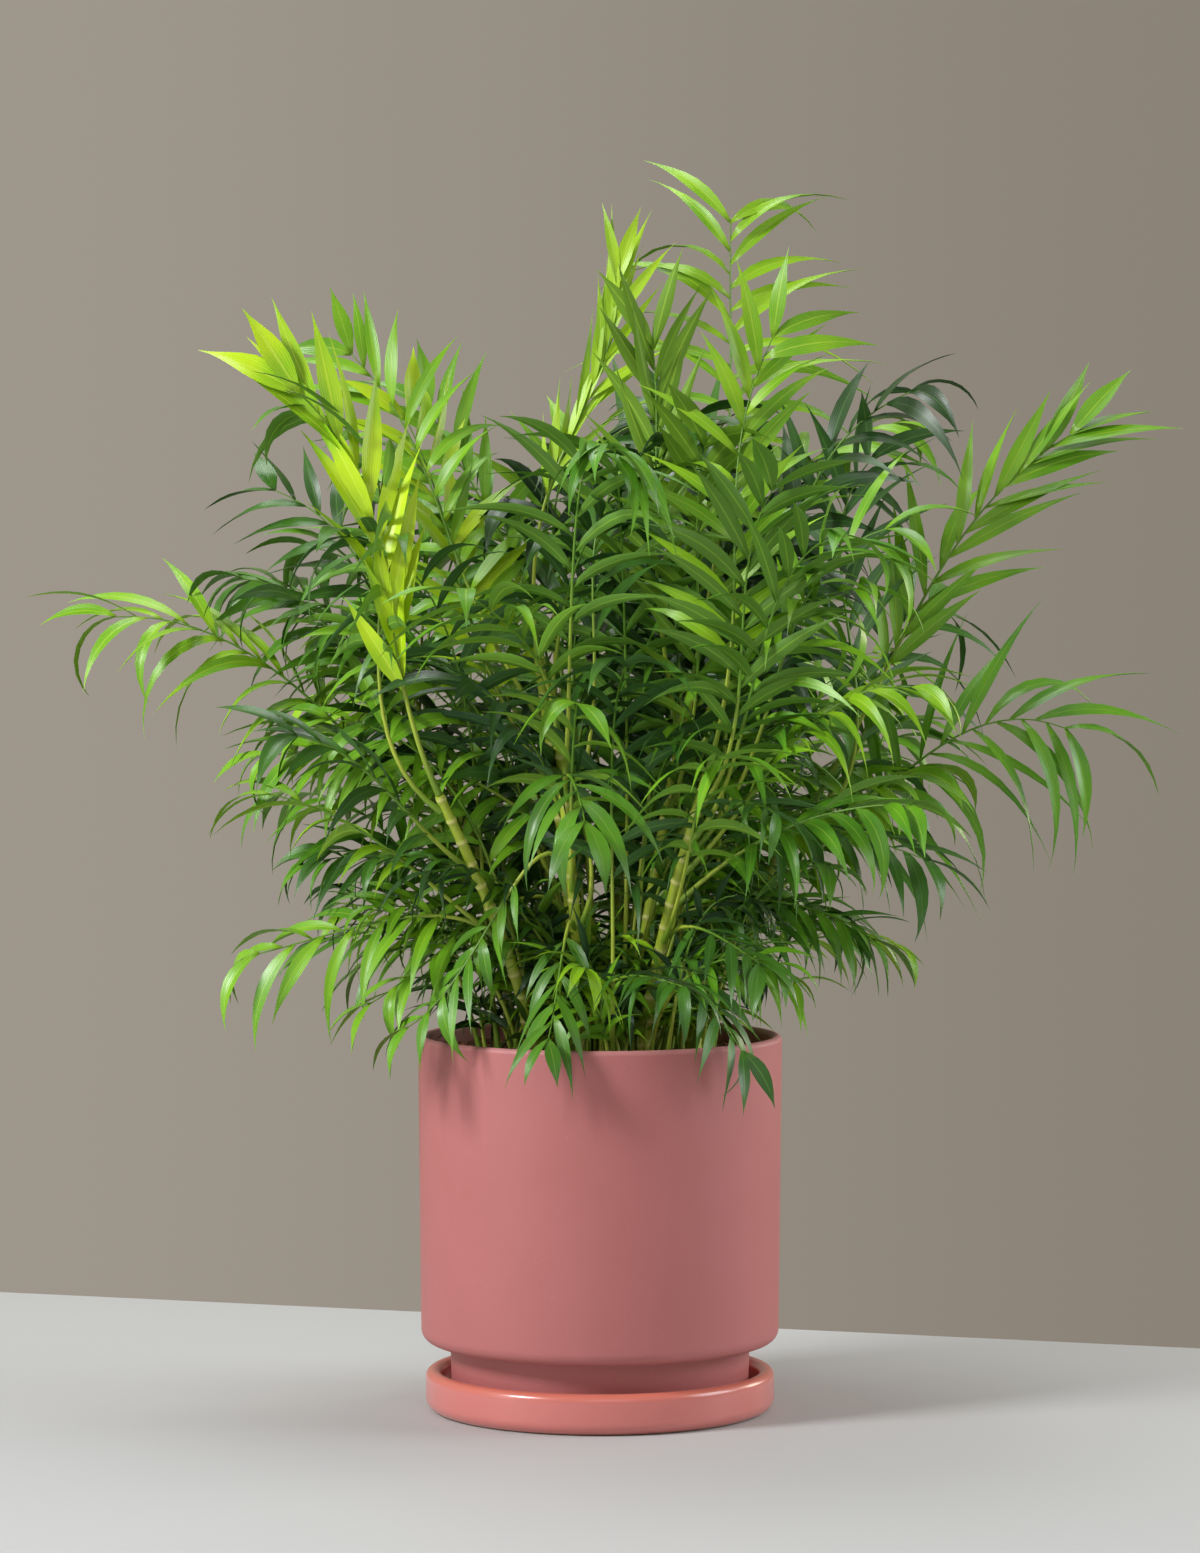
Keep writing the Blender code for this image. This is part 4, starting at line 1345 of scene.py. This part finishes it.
@dataclass
class Stems:
    """The canes with their ring scars, and the stalk and rib of every frond."""

    sides: int = 10
    rib_sides: int = 6
    internode: float = 0.017
    scar_height: float = 0.0016
    scar_swell: float = 1.16
    scar_paleness: float = 0.8
    sheath_swell: float = 0.10
    cane_step: float = 0.0008
    rings_kept: int = 5
    rib_foot: float = 0.0017
    rib_tip: float = 0.00045
    full_leaf_mm: float = 90.0
    sheath_width: float = 0.55
    sheath_fade: float = 14.0
    most_yellow: float = 0.85
    # how far up the darker green foot reaches, partly painted shade near the mix
    green_below: float = 0.2

    @staticmethod
    def tube_tree() -> NodeTree:
        """Makes the tree that turns chains of edges into closed tubes of their own radius.

        Returns:
            The Geometry Nodes tree, with its number of sides and its material as inputs.
        """
        tree, start = new_tree("Tapering stems", {"Sides": "Int", "Finish": "Material"})
        named = {"Name": "radius"}
        radius = add_node(tree, "GeometryNodeInputNamedAttribute", named, data_type="FLOAT").outputs[0]
        line = add_node(tree, "GeometryNodeMeshToCurve", {0: start[0]}).outputs[0]
        links = {"Resolution": start["Sides"], "Radius": 1.0}
        ring = add_node(tree, "GeometryNodeCurvePrimitiveCircle", links).outputs[0]
        links = {"Curve": line, "Profile Curve": ring, "Scale": radius, "Fill Caps": True}
        tube = add_node(tree, "GeometryNodeCurveToMesh", links).outputs[0]
        smooth = add_node(tree, "GeometryNodeSetShadeSmooth", {0: tube}).outputs[0]
        real = add_node(tree, "GeometryNodeRealizeInstances", {0: smooth}).outputs[0]
        links = {"Geometry": real, "Material": start["Finish"]}
        add_node(tree, "NodeGroupOutput", {0: add_node(tree, "GeometryNodeSetMaterial", links).outputs[0]})
        return tree

    @staticmethod
    def tubes(name: str, chains: Sequence[Chain], tree: NodeTree, sides: int, finish: Material) -> Object:
        """Turns chains of points into tubes.

        Args:
            name: The piece's name.
            chains: What each tube follows.
            tree: The Geometry Nodes tree of tube_tree.
            sides: How many sides a tube has.
            finish: Its material.

        Returns:
            The tubes, as one plain mesh.
        """
        points, edges = [], []
        for chain in chains:
            first = len(points)
            points += [tuple(p) for p in chain.points]
            edges += [(i, i + 1) for i in range(first, len(points) - 1)]
        mesh = new_mesh(name, points, edges)
        give_values(mesh, "radius", "FLOAT", np.concatenate([chain.radii for chain in chains]))
        give_values(mesh, "ring", "FLOAT", np.concatenate([chain.ring for chain in chains]))
        return run_tree(name, mesh, tree, {"Sides": sides, "Finish": finish})

    def cane_chain(self, cane: Cane) -> Chain:
        """Follows a cane closely and swells it at its ring scars.

        Args:
            cane: The cane.

        Returns:
            What its tube follows.
        """
        axis = np.array(cane.axis)
        run = run_along(axis)
        place = np.arange(0.0, run[-1], self.cane_step)
        up = place % self.internode
        ring = np.exp(-((np.abs(up - self.internode / 2) / self.scar_height) ** 2))
        sheath = 1.0 + self.sheath_swell * (place / run[-1]) * up / self.internode
        radii = np.interp(place, run, cane.radii) * (1.0 + (self.scar_swell - 1.0) * ring) * sheath
        spaced = np.arange(1, len(place)) % self.rings_kept == 0
        keep = np.concatenate([[True], (ring[1:] > 0.02) | spaced])
        return Chain(points_at(axis, run, place)[keep], radii[keep], ring[keep] * self.scar_paleness)

    def rib_chain(self, frond: Frond) -> Chain:
        """Follows a frond's rib, widest at its sheath and yellow as far as its first leaflets, with a
        darker green foot that is partly the sheath's own colour and partly painted shade near the mix.

        Args:
            frond: The frond.

        Returns:
            What its tube follows.
        """
        share = np.linspace(0.0, 1.0, len(frond.rib))
        scale = 0.65 + 0.35 * min(frond.habit.leaf_mm / self.full_leaf_mm, 1.0)
        radii = (self.rib_foot + (self.rib_tip - self.rib_foot) * share) * scale
        radii *= 1.0 + self.sheath_width * np.exp(-share * self.sheath_fade)
        yellow = np.clip(1.15 - share / (frond.habit.petiole + 0.12), 0.0, self.most_yellow)
        # the foot keeps the darker green: partly the sheath's own colour, partly painted shade near the mix
        sheath_green_and_shade = np.clip(share / self.green_below, 0.15, 1.0)
        return Chain(frond.rib, radii, yellow * sheath_green_and_shade)

    def build(self, canes: list[Cane], fronds: list[Frond], finer: list[Frond]) -> list[Object]:
        """Builds the canes and the ribs and dresses them.

        Args:
            canes: The canes.
            fronds: The model's fronds.
            finer: The finer fronds.

        Returns:
            The finished pieces.
        """
        tree = self.tube_tree()
        cane_skin = StemSkin("palm_cane_skin", "#bccc3c", "#94ac2e", "#e2dc8c", 9.0).material()
        rib_skin = StemSkin("palm_stalk_skin", "#6c9c26", "#4f7c1e", "#c6d24a", 14.0).material()
        cane_chains = [self.cane_chain(cane) for cane in canes]
        rib_chains = [self.rib_chain(frond) for frond in fronds + finer]
        canes_piece = self.tubes("palm_canes", cane_chains, tree, self.sides, cane_skin)
        ribs_piece = self.tubes("frond_ribs", rib_chains, tree, self.rib_sides, rib_skin)
        return [
            settle(canes_piece, "cane", [cane.name for cane in canes]),
            settle(ribs_piece, MID.slot, [frond.name for frond in fronds]),
        ]


class Leaf(NamedTuple):
    """One leaflet: its root, the way it leaves, its cross direction and its face's, and its shape."""

    root: Vector
    leave: Vector
    across: Vector
    face: Vector
    size: tuple[float, float, float]
    pose: tuple[float, float, float]
    form: LeafForm


# The leaflet's values that its tree reads as vectors, from its root to its pose
LEAF_VECTORS = Leaf._fields[:-1]

# How a leaflet's own place, its size and its pose become its place in space, step by step
LEAF_BEND = {
    "turn": ("MULTIPLY", "bend", "along"),
    "sine": ("SINE", "turn"),
    "cosine": ("COSINE", "turn"),
    "radius": ("DIVIDE", "length", "bend"),
    "ahead": ("MULTIPLY", "radius", "sine"),
    "short": ("SUBTRACT", "cosine", "one"),
    "drop": ("MULTIPLY", "radius", "short"),
    "wring": ("MULTIPLY", "twist", "along"),
    "wring_sine": ("SINE", "wring"),
    "wring_cosine": ("COSINE", "wring"),
    "out": ("MULTIPLY", "blank_x", "width"),
    "side": ("ABSOLUTE", "out"),
    "ridge": ("MULTIPLY", "side", "fold"),
    "deep": ("MULTIPLY_ADD", "blank_z", "thickness", "ridge"),
    "out_level": ("MULTIPLY", "out", "wring_cosine"),
    "deep_level": ("MULTIPLY", "deep", "wring_sine"),
    "level": ("SUBTRACT", "out_level", "deep_level"),
    "out_high": ("MULTIPLY", "out", "wring_sine"),
    "high": ("MULTIPLY_ADD", "deep", "wring_cosine", "out_high"),
    "sweep": ("MULTIPLY", "along", "along"),
    "on_leave": ("MULTIPLY_ADD", "high", "sine", "ahead"),
    "on_across": ("MULTIPLY_ADD", "sweep", "sickle", "level"),
    "on_face": ("MULTIPLY_ADD", "high", "cosine", "drop"),
}


@dataclass
class Foliage:
    """Every leaflet of every frond, bent one by one by its own weight."""

    spacing: float = 1.4
    spacing_within: float = 1.75
    fewest_pairs: int = 5
    stagger: float = 0.22
    thickness: float = 0.0008
    stations: int = 8
    seed: int = 23
    end_open: float = 0.62
    open_spread: float = 12.0
    lift_spread: float = 18.0
    roll_spread: float = 0.6
    most_twist: float = 1.1
    folds: tuple[float, float] = (0.12, 0.45)
    long_spread: tuple[float, float] = (0.88, 1.12)
    wide_spread: tuple[float, float] = (0.8, 1.12)
    sag_spread: tuple[float, float] = (0.6, 1.8)
    own_bend: tuple[float, float] = (0.08, 0.4)
    flop: tuple[float, float] = (0.5, 1.3)
    floppy: float = 0.35
    least_sag: float = 0.1
    most_bend: float = 1.3
    most_hang: float = 0.7
    hang_rate: float = 1.3
    hang_loss: float = 0.3
    sickle_in: float = -0.10
    face_pull: float = 0.8
    sky_pull: float = 0.5
    slimness: float = 0.82
    slender_below_mm: float = 11.5
    tail_size: tuple[float, float] = (0.86, 1.16)

    def blank(self, number: int, form: LeafForm) -> Mesh:
        """Makes the flat blank of a leaflet, a closed thin lens in its own outline.

        Args:
            number: The blank's number.
            form: Its outline.

        Returns:
            The blank's mesh, one long and one wide, with its own coordinates kept as an attribute.
        """
        points, uvs, tops, lows = [], [], [], []
        for t in (i / self.stations for i in range(self.stations)):
            row = []
            for s in (-1.0, -0.5, 0.0, 0.5, 1.0):
                row.append(len(points))
                points.append((s * form.half_width(t), t, 0.5 * (1 - s * s)))
                uvs.append((0.5 + 0.5 * s, t))
            points.append((0.0, t, -0.5))
            uvs.append((0.5, t))
            tops.append(row)
            lows.append([row[-1], row[-1] + 1, row[0]])
        tip = len(points)
        points.append((0.0, 1.0, 0.0))
        uvs.append((0.5, 1.0))
        faces, under = [], []
        for rows, below in ((tops, False), (lows, True)):
            for low, high in zip(rows, rows[1:]):
                faces += [(low[i], low[i + 1], high[i + 1], high[i]) for i in range(len(low) - 1)]
            faces += [(rows[-1][i], rows[-1][i + 1], tip) for i in range(len(rows[-1]) - 1)]
            under += [below] * (len(faces) - len(under))
        faces.append((*reversed(tops[0]), lows[0][1]))
        under.append(True)
        mesh = new_mesh(f"leaf_blank_{number}", points, [], faces)
        give_values(mesh, "blank", "FLOAT_VECTOR", points)
        give_values(mesh, "under", "BOOLEAN", under, "FACE")
        margin = {index for row in tops for index in (row[0], row[-1])} | {tip}
        for edge in mesh.edges:
            edge.use_edge_sharp = set(edge.vertices) <= margin
        layer = mesh.uv_layers.new(name=LEAF_UV)
        for loop in mesh.loops:
            layer.data[loop.index].uv = uvs[loop.vertex_index]
        return mesh

    @staticmethod
    def leaf_tree(blanks: Collection) -> NodeTree:
        """Makes the tree that sets a blank on each root and bends it by its own arc and twist.

        Args:
            blanks: The blanks, in the order of LeafForm.

        Returns:
            The Geometry Nodes tree.
        """
        inputs = {"Thickness": "Float", "Face Skin": "Material", "Under Skin": "Material"}
        tree, start = new_tree("Leaflets", inputs)
        kinds = dict.fromkeys((*LEAF_VECTORS, "blank"), "FLOAT_VECTOR")
        kinds.update(form="INT", under="BOOLEAN")
        got = {
            key: add_node(tree, "GeometryNodeInputNamedAttribute", {"Name": key}, data_type=kind).outputs[0]
            for key, kind in kinds.items()
        }
        links = {"Collection": blanks, "Separate Children": True, "Reset Children": True}
        shapes = add_node(tree, "GeometryNodeCollectionInfo", links).outputs[0]
        links = {"Points": start[0], "Instance": shapes, "Pick Instance": True}
        links = {**links, "Instance Index": got["form"]}
        placed = add_node(tree, "GeometryNodeInstanceOnPoints", links).outputs[0]
        real = add_node(tree, "GeometryNodeRealizeInstances", {0: placed}).outputs[0]
        values = {"thickness": start["Thickness"], "one": 1.0}
        for key, names in (
            ("blank", ("blank_x", "along", "blank_z")),
            ("size", ("length", "width", "sickle")),
            ("pose", ("bend", "twist", "fold")),
        ):
            values.update(zip(names, add_node(tree, "ShaderNodeSeparateXYZ", {0: got[key]}).outputs))
        for key, (operation, *names) in LEAF_BEND.items():
            links = {i: values[name] for i, name in enumerate(names)}
            values[key] = add_node(tree, "ShaderNodeMath", links, operation=operation).outputs[0]
        place = got["root"]
        for key in ("leave", "across", "face"):
            links = {0: got[key], "Scale": values["on_" + key]}
            part = add_node(tree, "ShaderNodeVectorMath", links, operation="SCALE").outputs[0]
            place = add_node(tree, "ShaderNodeVectorMath", {0: place, 1: part}, operation="ADD").outputs[0]
        bent = add_node(tree, "GeometryNodeSetPosition", {"Geometry": real, "Position": place}).outputs[0]
        worn = add_node(tree, "GeometryNodeSetShadeSmooth", {0: bent}).outputs[0]
        for skin, faces in (("Face Skin", {}), ("Under Skin", {"Selection": got["under"]})):
            links = {"Geometry": worn, "Material": start[skin], **faces}
            worn = add_node(tree, "GeometryNodeSetMaterial", links).outputs[0]
        add_node(tree, "NodeGroupOutput", {0: worn})
        return tree

    def leaves_of(self, frond: Frond, spacing: float, draw: random.Random) -> list[Leaf]:
        """Sets out a frond's leaflets in pairs, a little staggered, up its rib.

        Args:
            frond: The frond.
            spacing: The distance between pairs, in leaflet widths.
            draw: The random numbers.

        Returns:
            The leaflets.
        """
        habit = frond.habit
        crown = float(np.linalg.norm(np.diff(frond.rib, axis=0), axis=1).sum()) * (1 - habit.petiole)
        pairs = max(self.fewest_pairs, round(crown / (spacing * habit.width_mm * MM)))
        leaves = []
        for pair in range(pairs):
            for way in (-1, 1):
                last = pair == pairs - 1
                up = pair if last else max(pair + self.stagger * way, 0.0)
                leaves.append(self.leaf_at(frond, up / (pairs - 1), way, last, draw))
        return leaves

    def leaf_at(self, frond: Frond, up: float, way: int, last: bool, draw: random.Random) -> Leaf:
        """Poses one leaflet.

        Args:
            frond: Its frond.
            up: The share of the leafy stretch at its root.
            way: -1 or 1, its side.
            last: Whether it is one of the end pair.
            draw: The random numbers.

        Returns:
            The leaflet.
        """
        habit = frond.habit
        place = (habit.petiole + (1 - habit.petiole) * up) * (len(frond.rib) - 1)
        i = min(int(place), len(frond.rib) - 2)
        low, high = Vector(frond.rib[i]), Vector(frond.rib[i + 1])
        root, tangent = low.lerp(high, place - i), (high - low).normalized()
        side = (frond.fan - tangent * frond.fan.dot(tangent)).normalized()
        face = side.cross(tangent)
        opened = habit.open * (1 + (self.end_open - 1) * up)
        spread = math.radians(opened + draw.uniform(-self.open_spread, self.open_spread))
        lift = math.radians(habit.lift + draw.uniform(-self.lift_spread, self.lift_spread))
        outward = side * (way * math.cos(lift)) + face * math.sin(lift)
        leave = (tangent * math.cos(spread) + outward * math.sin(spread)).normalized()
        weight = (UP - leave * UP.dot(leave)).length
        roll = draw.uniform(-self.roll_spread, self.roll_spread)
        normal = face * self.face_pull + UP * (self.sky_pull * weight) + side * roll
        normal = (normal - leave * normal.dot(leave)).normalized()
        across = leave.cross(normal)
        middle = 0.66 + 0.34 * math.sin(math.pi * (0.15 + 0.7 * up))  # the middle pairs are the longest
        grown = habit.leaf_mm * MM * middle * draw.uniform(*self.long_spread)
        wide = habit.width_mm * MM * self.slimness * (0.9 + 0.2 * up) * draw.uniform(*self.wide_spread)
        form = LeafForm.SLENDER if habit.width_mm < self.slender_below_mm else LeafForm.LANCE
        if last:
            form, grown, wide = LeafForm.TAIL, grown * self.tail_size[0], wide * self.tail_size[1]
        sag = max(habit.sag, self.least_sag) * draw.uniform(*self.sag_spread)
        load = sag * (0.3 + 0.7 * weight * max(normal.z, 0.25))  # a level leaflet sags the most
        bend = draw.uniform(*self.own_bend) + self.most_bend * math.atan(load)
        if draw.random() < self.floppy * min(sag, 1.0):
            bend += draw.uniform(*self.flop)
        hang = self.most_hang * math.atan(self.hang_rate * sag) * across.z  # one on its edge hangs sideways
        grown *= 1 - self.hang_loss * hang**2
        sickle = grown * (self.sickle_in * tangent.dot(across) - hang)
        pose = (bend, draw.uniform(-self.most_twist, self.most_twist), draw.uniform(*self.folds))
        return Leaf(root, leave, across, normal, (grown, wide, sickle), pose, form)

    def sprays(self, name: str, leaves: list[Leaf], skin: LeafSkin, tree: NodeTree) -> Object:
        """Turns leaves into a plain mesh with Geometry Nodes.

        Args:
            name: The piece's name.
            leaves: The leaves.
            skin: Their skin.
            tree: The Geometry Nodes tree of leaf_tree.

        Returns:
            The leaflets, as one mesh.
        """
        mesh = new_mesh(name, [tuple(leaf.root) for leaf in leaves])
        for key in LEAF_VECTORS:
            give_values(mesh, key, "FLOAT_VECTOR", [tuple(getattr(leaf, key)) for leaf in leaves])
        give_values(mesh, "form", "INT", [list(LeafForm).index(leaf.form) for leaf in leaves])
        skins = {"Face Skin": skin.face(), "Under Skin": skin.underside()}
        piece = run_tree(name, mesh, tree, {"Thickness": self.thickness, **skins})
        for key in (*LEAF_VECTORS, "form", "blank", "under"):
            if key in piece.data.attributes:
                piece.data.attributes.remove(piece.data.attributes[key])
        return piece

    def build(self, fronds: list[Frond], finer: list[Frond]) -> list[Object]:
        """Builds the leaflets, one piece for each shade, and dresses them.

        Args:
            fronds: The model's fronds.
            finer: The finer fronds.

        Returns:
            The finished pieces.
        """
        draw = random.Random(self.seed)
        blanks = shape_store("leaf_blanks", [self.blank(i, form) for i, form in enumerate(LeafForm)])
        tree = self.leaf_tree(blanks)
        shelves: dict[LeafSkin, list[Leaf]] = {skin: [] for skin in LEAF_SKINS}
        turns = {tint: cycle([skin for skin in LEAF_SKINS if skin.tint is tint]) for tint in Tint}
        for grown, spacing in ((fronds, self.spacing), (finer, self.spacing_within)):
            for frond in grown:
                shelves[next(turns[frond.habit.tint])] += self.leaves_of(frond, spacing, draw)
        finished = []
        for i, (skin, leaves) in enumerate(shelves.items()):
            piece = self.sprays(f"leaflets_{skin.tint.value}_{i + 1}", leaves, skin, tree)
            stands_for = [frond.name for frond in fronds if frond.habit.tint is skin.tint]
            finished.append(settle(piece, skin.tint.slot, stands_for))
        LOG.info("%d leaflets on %d fronds", sum(map(len, shelves.values())), len(fronds + finer))
        clear_store(blanks)
        return finished


class Lamp(NamedTuple):
    """A soft square light that faces the plant."""

    name: str
    place: tuple[float, float, float]
    size: float
    watts: float
    colour: str


LAMPS = (
    Lamp("key", (-2.2, -1.3, 2.0), 0.7, 82.0, "#fbfbff"),
    Lamp("low", (-2.6, -1.3, 0.6), 0.8, 5.0, "#fbfbff"),
    Lamp("kicker", (2.4, -0.2, 1.3), 1.3, 36.0, "#f4f8ff"),
    Lamp("front", (0.4, -3.0, 1.9), 1.8, 11.0, "#fbfbff"),
    Lamp("top", (-0.2, 0.5, 2.6), 1.0, 20.0, "#fbfbff"),
    Lamp("rim", (2.2, 1.5, 0.9), 0.8, 16.0, "#ffeedc"),
)


@dataclass
class Studio:
    """A plain pale table top, soft light from the upper left, and the photograph's camera."""

    edge_middle: tuple[float, float] = (0.0, 0.40)
    edge_turn: float = math.radians(-17.4)
    table_width: float = 4.0
    table_depth: float = 3.0
    table_thick: float = 0.03
    lit_point: tuple[float, float, float] = (0.0, 0.0, 0.4)
    camera_distance: float = 3.40
    camera_height: float = 0.573
    camera_tilt: float = math.radians(2.32)
    lens_mm: float = 115.0
    floor_colour: str = "#babdbc"
    backdrop_left: str = "#9f978c"
    backdrop_right: str = "#8b8378"
    backdrop_fade: float = 0.14

    def build(self) -> None:
        """Builds the table top, the lights, the backdrop and the camera."""
        self.table_top()
        for lamp in LAMPS:
            self.light(lamp)
        self.backdrop()
        self.camera()

    def table_top(self) -> None:
        """Makes the table top, with its back edge where the photograph shows it."""
        half, deep, thick = self.table_width / 2, self.table_depth / 2, self.table_thick / 2
        corners = [(x * half, (y - 1) * deep, (z - 1) * thick) for x, y, z in BOX_CORNERS]
        mesh = new_mesh("table_top", corners, [], BOX_FACES)
        turn = Matrix.Rotation(self.edge_turn, 4, "Z")
        mesh.transform(Matrix.Translation((*self.edge_middle, 0.0)) @ turn)
        finish = new_material("matte_laminate", Roughness=0.6, Base_Color=linear(self.floor_colour))[0]
        mesh.materials.append(finish)
        made = link_new("table_top", mesh)
        made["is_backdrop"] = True

    def light(self, lamp: Lamp) -> None:
        """Adds a light and turns it to the plant.

        Args:
            lamp: The light's place, size, power and colour.
        """
        data = bpy.data.lights.new(lamp.name, "AREA")
        data.size, data.energy, data.color = lamp.size, lamp.watts, linear(lamp.colour)[:3]
        made = link_new(lamp.name, data)
        made.location = lamp.place
        aim = Vector(self.lit_point) - Vector(lamp.place)
        made.rotation_euler = aim.to_track_quat("-Z", "Y").to_euler()

    def backdrop(self) -> None:
        """Sets the backdrop, which fades to the right and also lights the shade."""
        world = bpy.data.worlds.new("backdrop")
        world.use_nodes = True
        tree = world.node_tree
        aim = add_node(tree, "ShaderNodeTexCoord").outputs["Generated"]
        right = add_node(tree, "ShaderNodeSeparateXYZ", {0: aim}).outputs["X"]
        fade = {0: right, 1: -self.backdrop_fade, 2: self.backdrop_fade}
        share = add_node(tree, "ShaderNodeMapRange", fade, interpolation_type="SMOOTHSTEP").outputs[0]
        shades = {0: share, 6: linear(self.backdrop_left), 7: linear(self.backdrop_right)}
        wall = add_node(tree, "ShaderNodeMix", shades, data_type="RGBA").outputs[2]
        tree.links.new(wall, tree.nodes["Background"].inputs["Color"])
        bpy.context.scene.world = world
        bpy.context.scene.view_settings.view_transform = "Standard"

    def camera(self) -> None:
        """Sets the camera at the photograph's height, distance and tilt."""
        lens = bpy.data.cameras.new("camera")
        lens.lens = self.lens_mm
        lens.clip_end = 50.0
        made = link_new("camera", lens)
        made.location = (0.0, -self.camera_distance, self.camera_height)
        made.rotation_euler = (math.pi / 2 - self.camera_tilt, 0.0, 0.0)
        bpy.context.scene.camera = made


def main() -> None:
    """Builds the object round the frame, piece by piece."""
    logging.basicConfig(level=logging.INFO, format="%(message)s", stream=sys.stdout)
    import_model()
    cad_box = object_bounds()
    pot = Pot()
    pot.build()
    Saucer().build()
    PottingMix(pot).build()
    rule = GrowthRule()
    canes = rule.grow_canes()
    fronds = rule.grow_fronds(canes)
    finer = rule.grow_finer(canes, fronds)
    Stems().build(canes, fronds, finer)
    Foliage().build(fronds, finer)
    Studio().build()
    boxes = {"cad": cad_box, "visual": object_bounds()}
    {key: [list(corner) for corner in box] for key, box in boxes.items()}


if __name__ == "__main__":
    main()
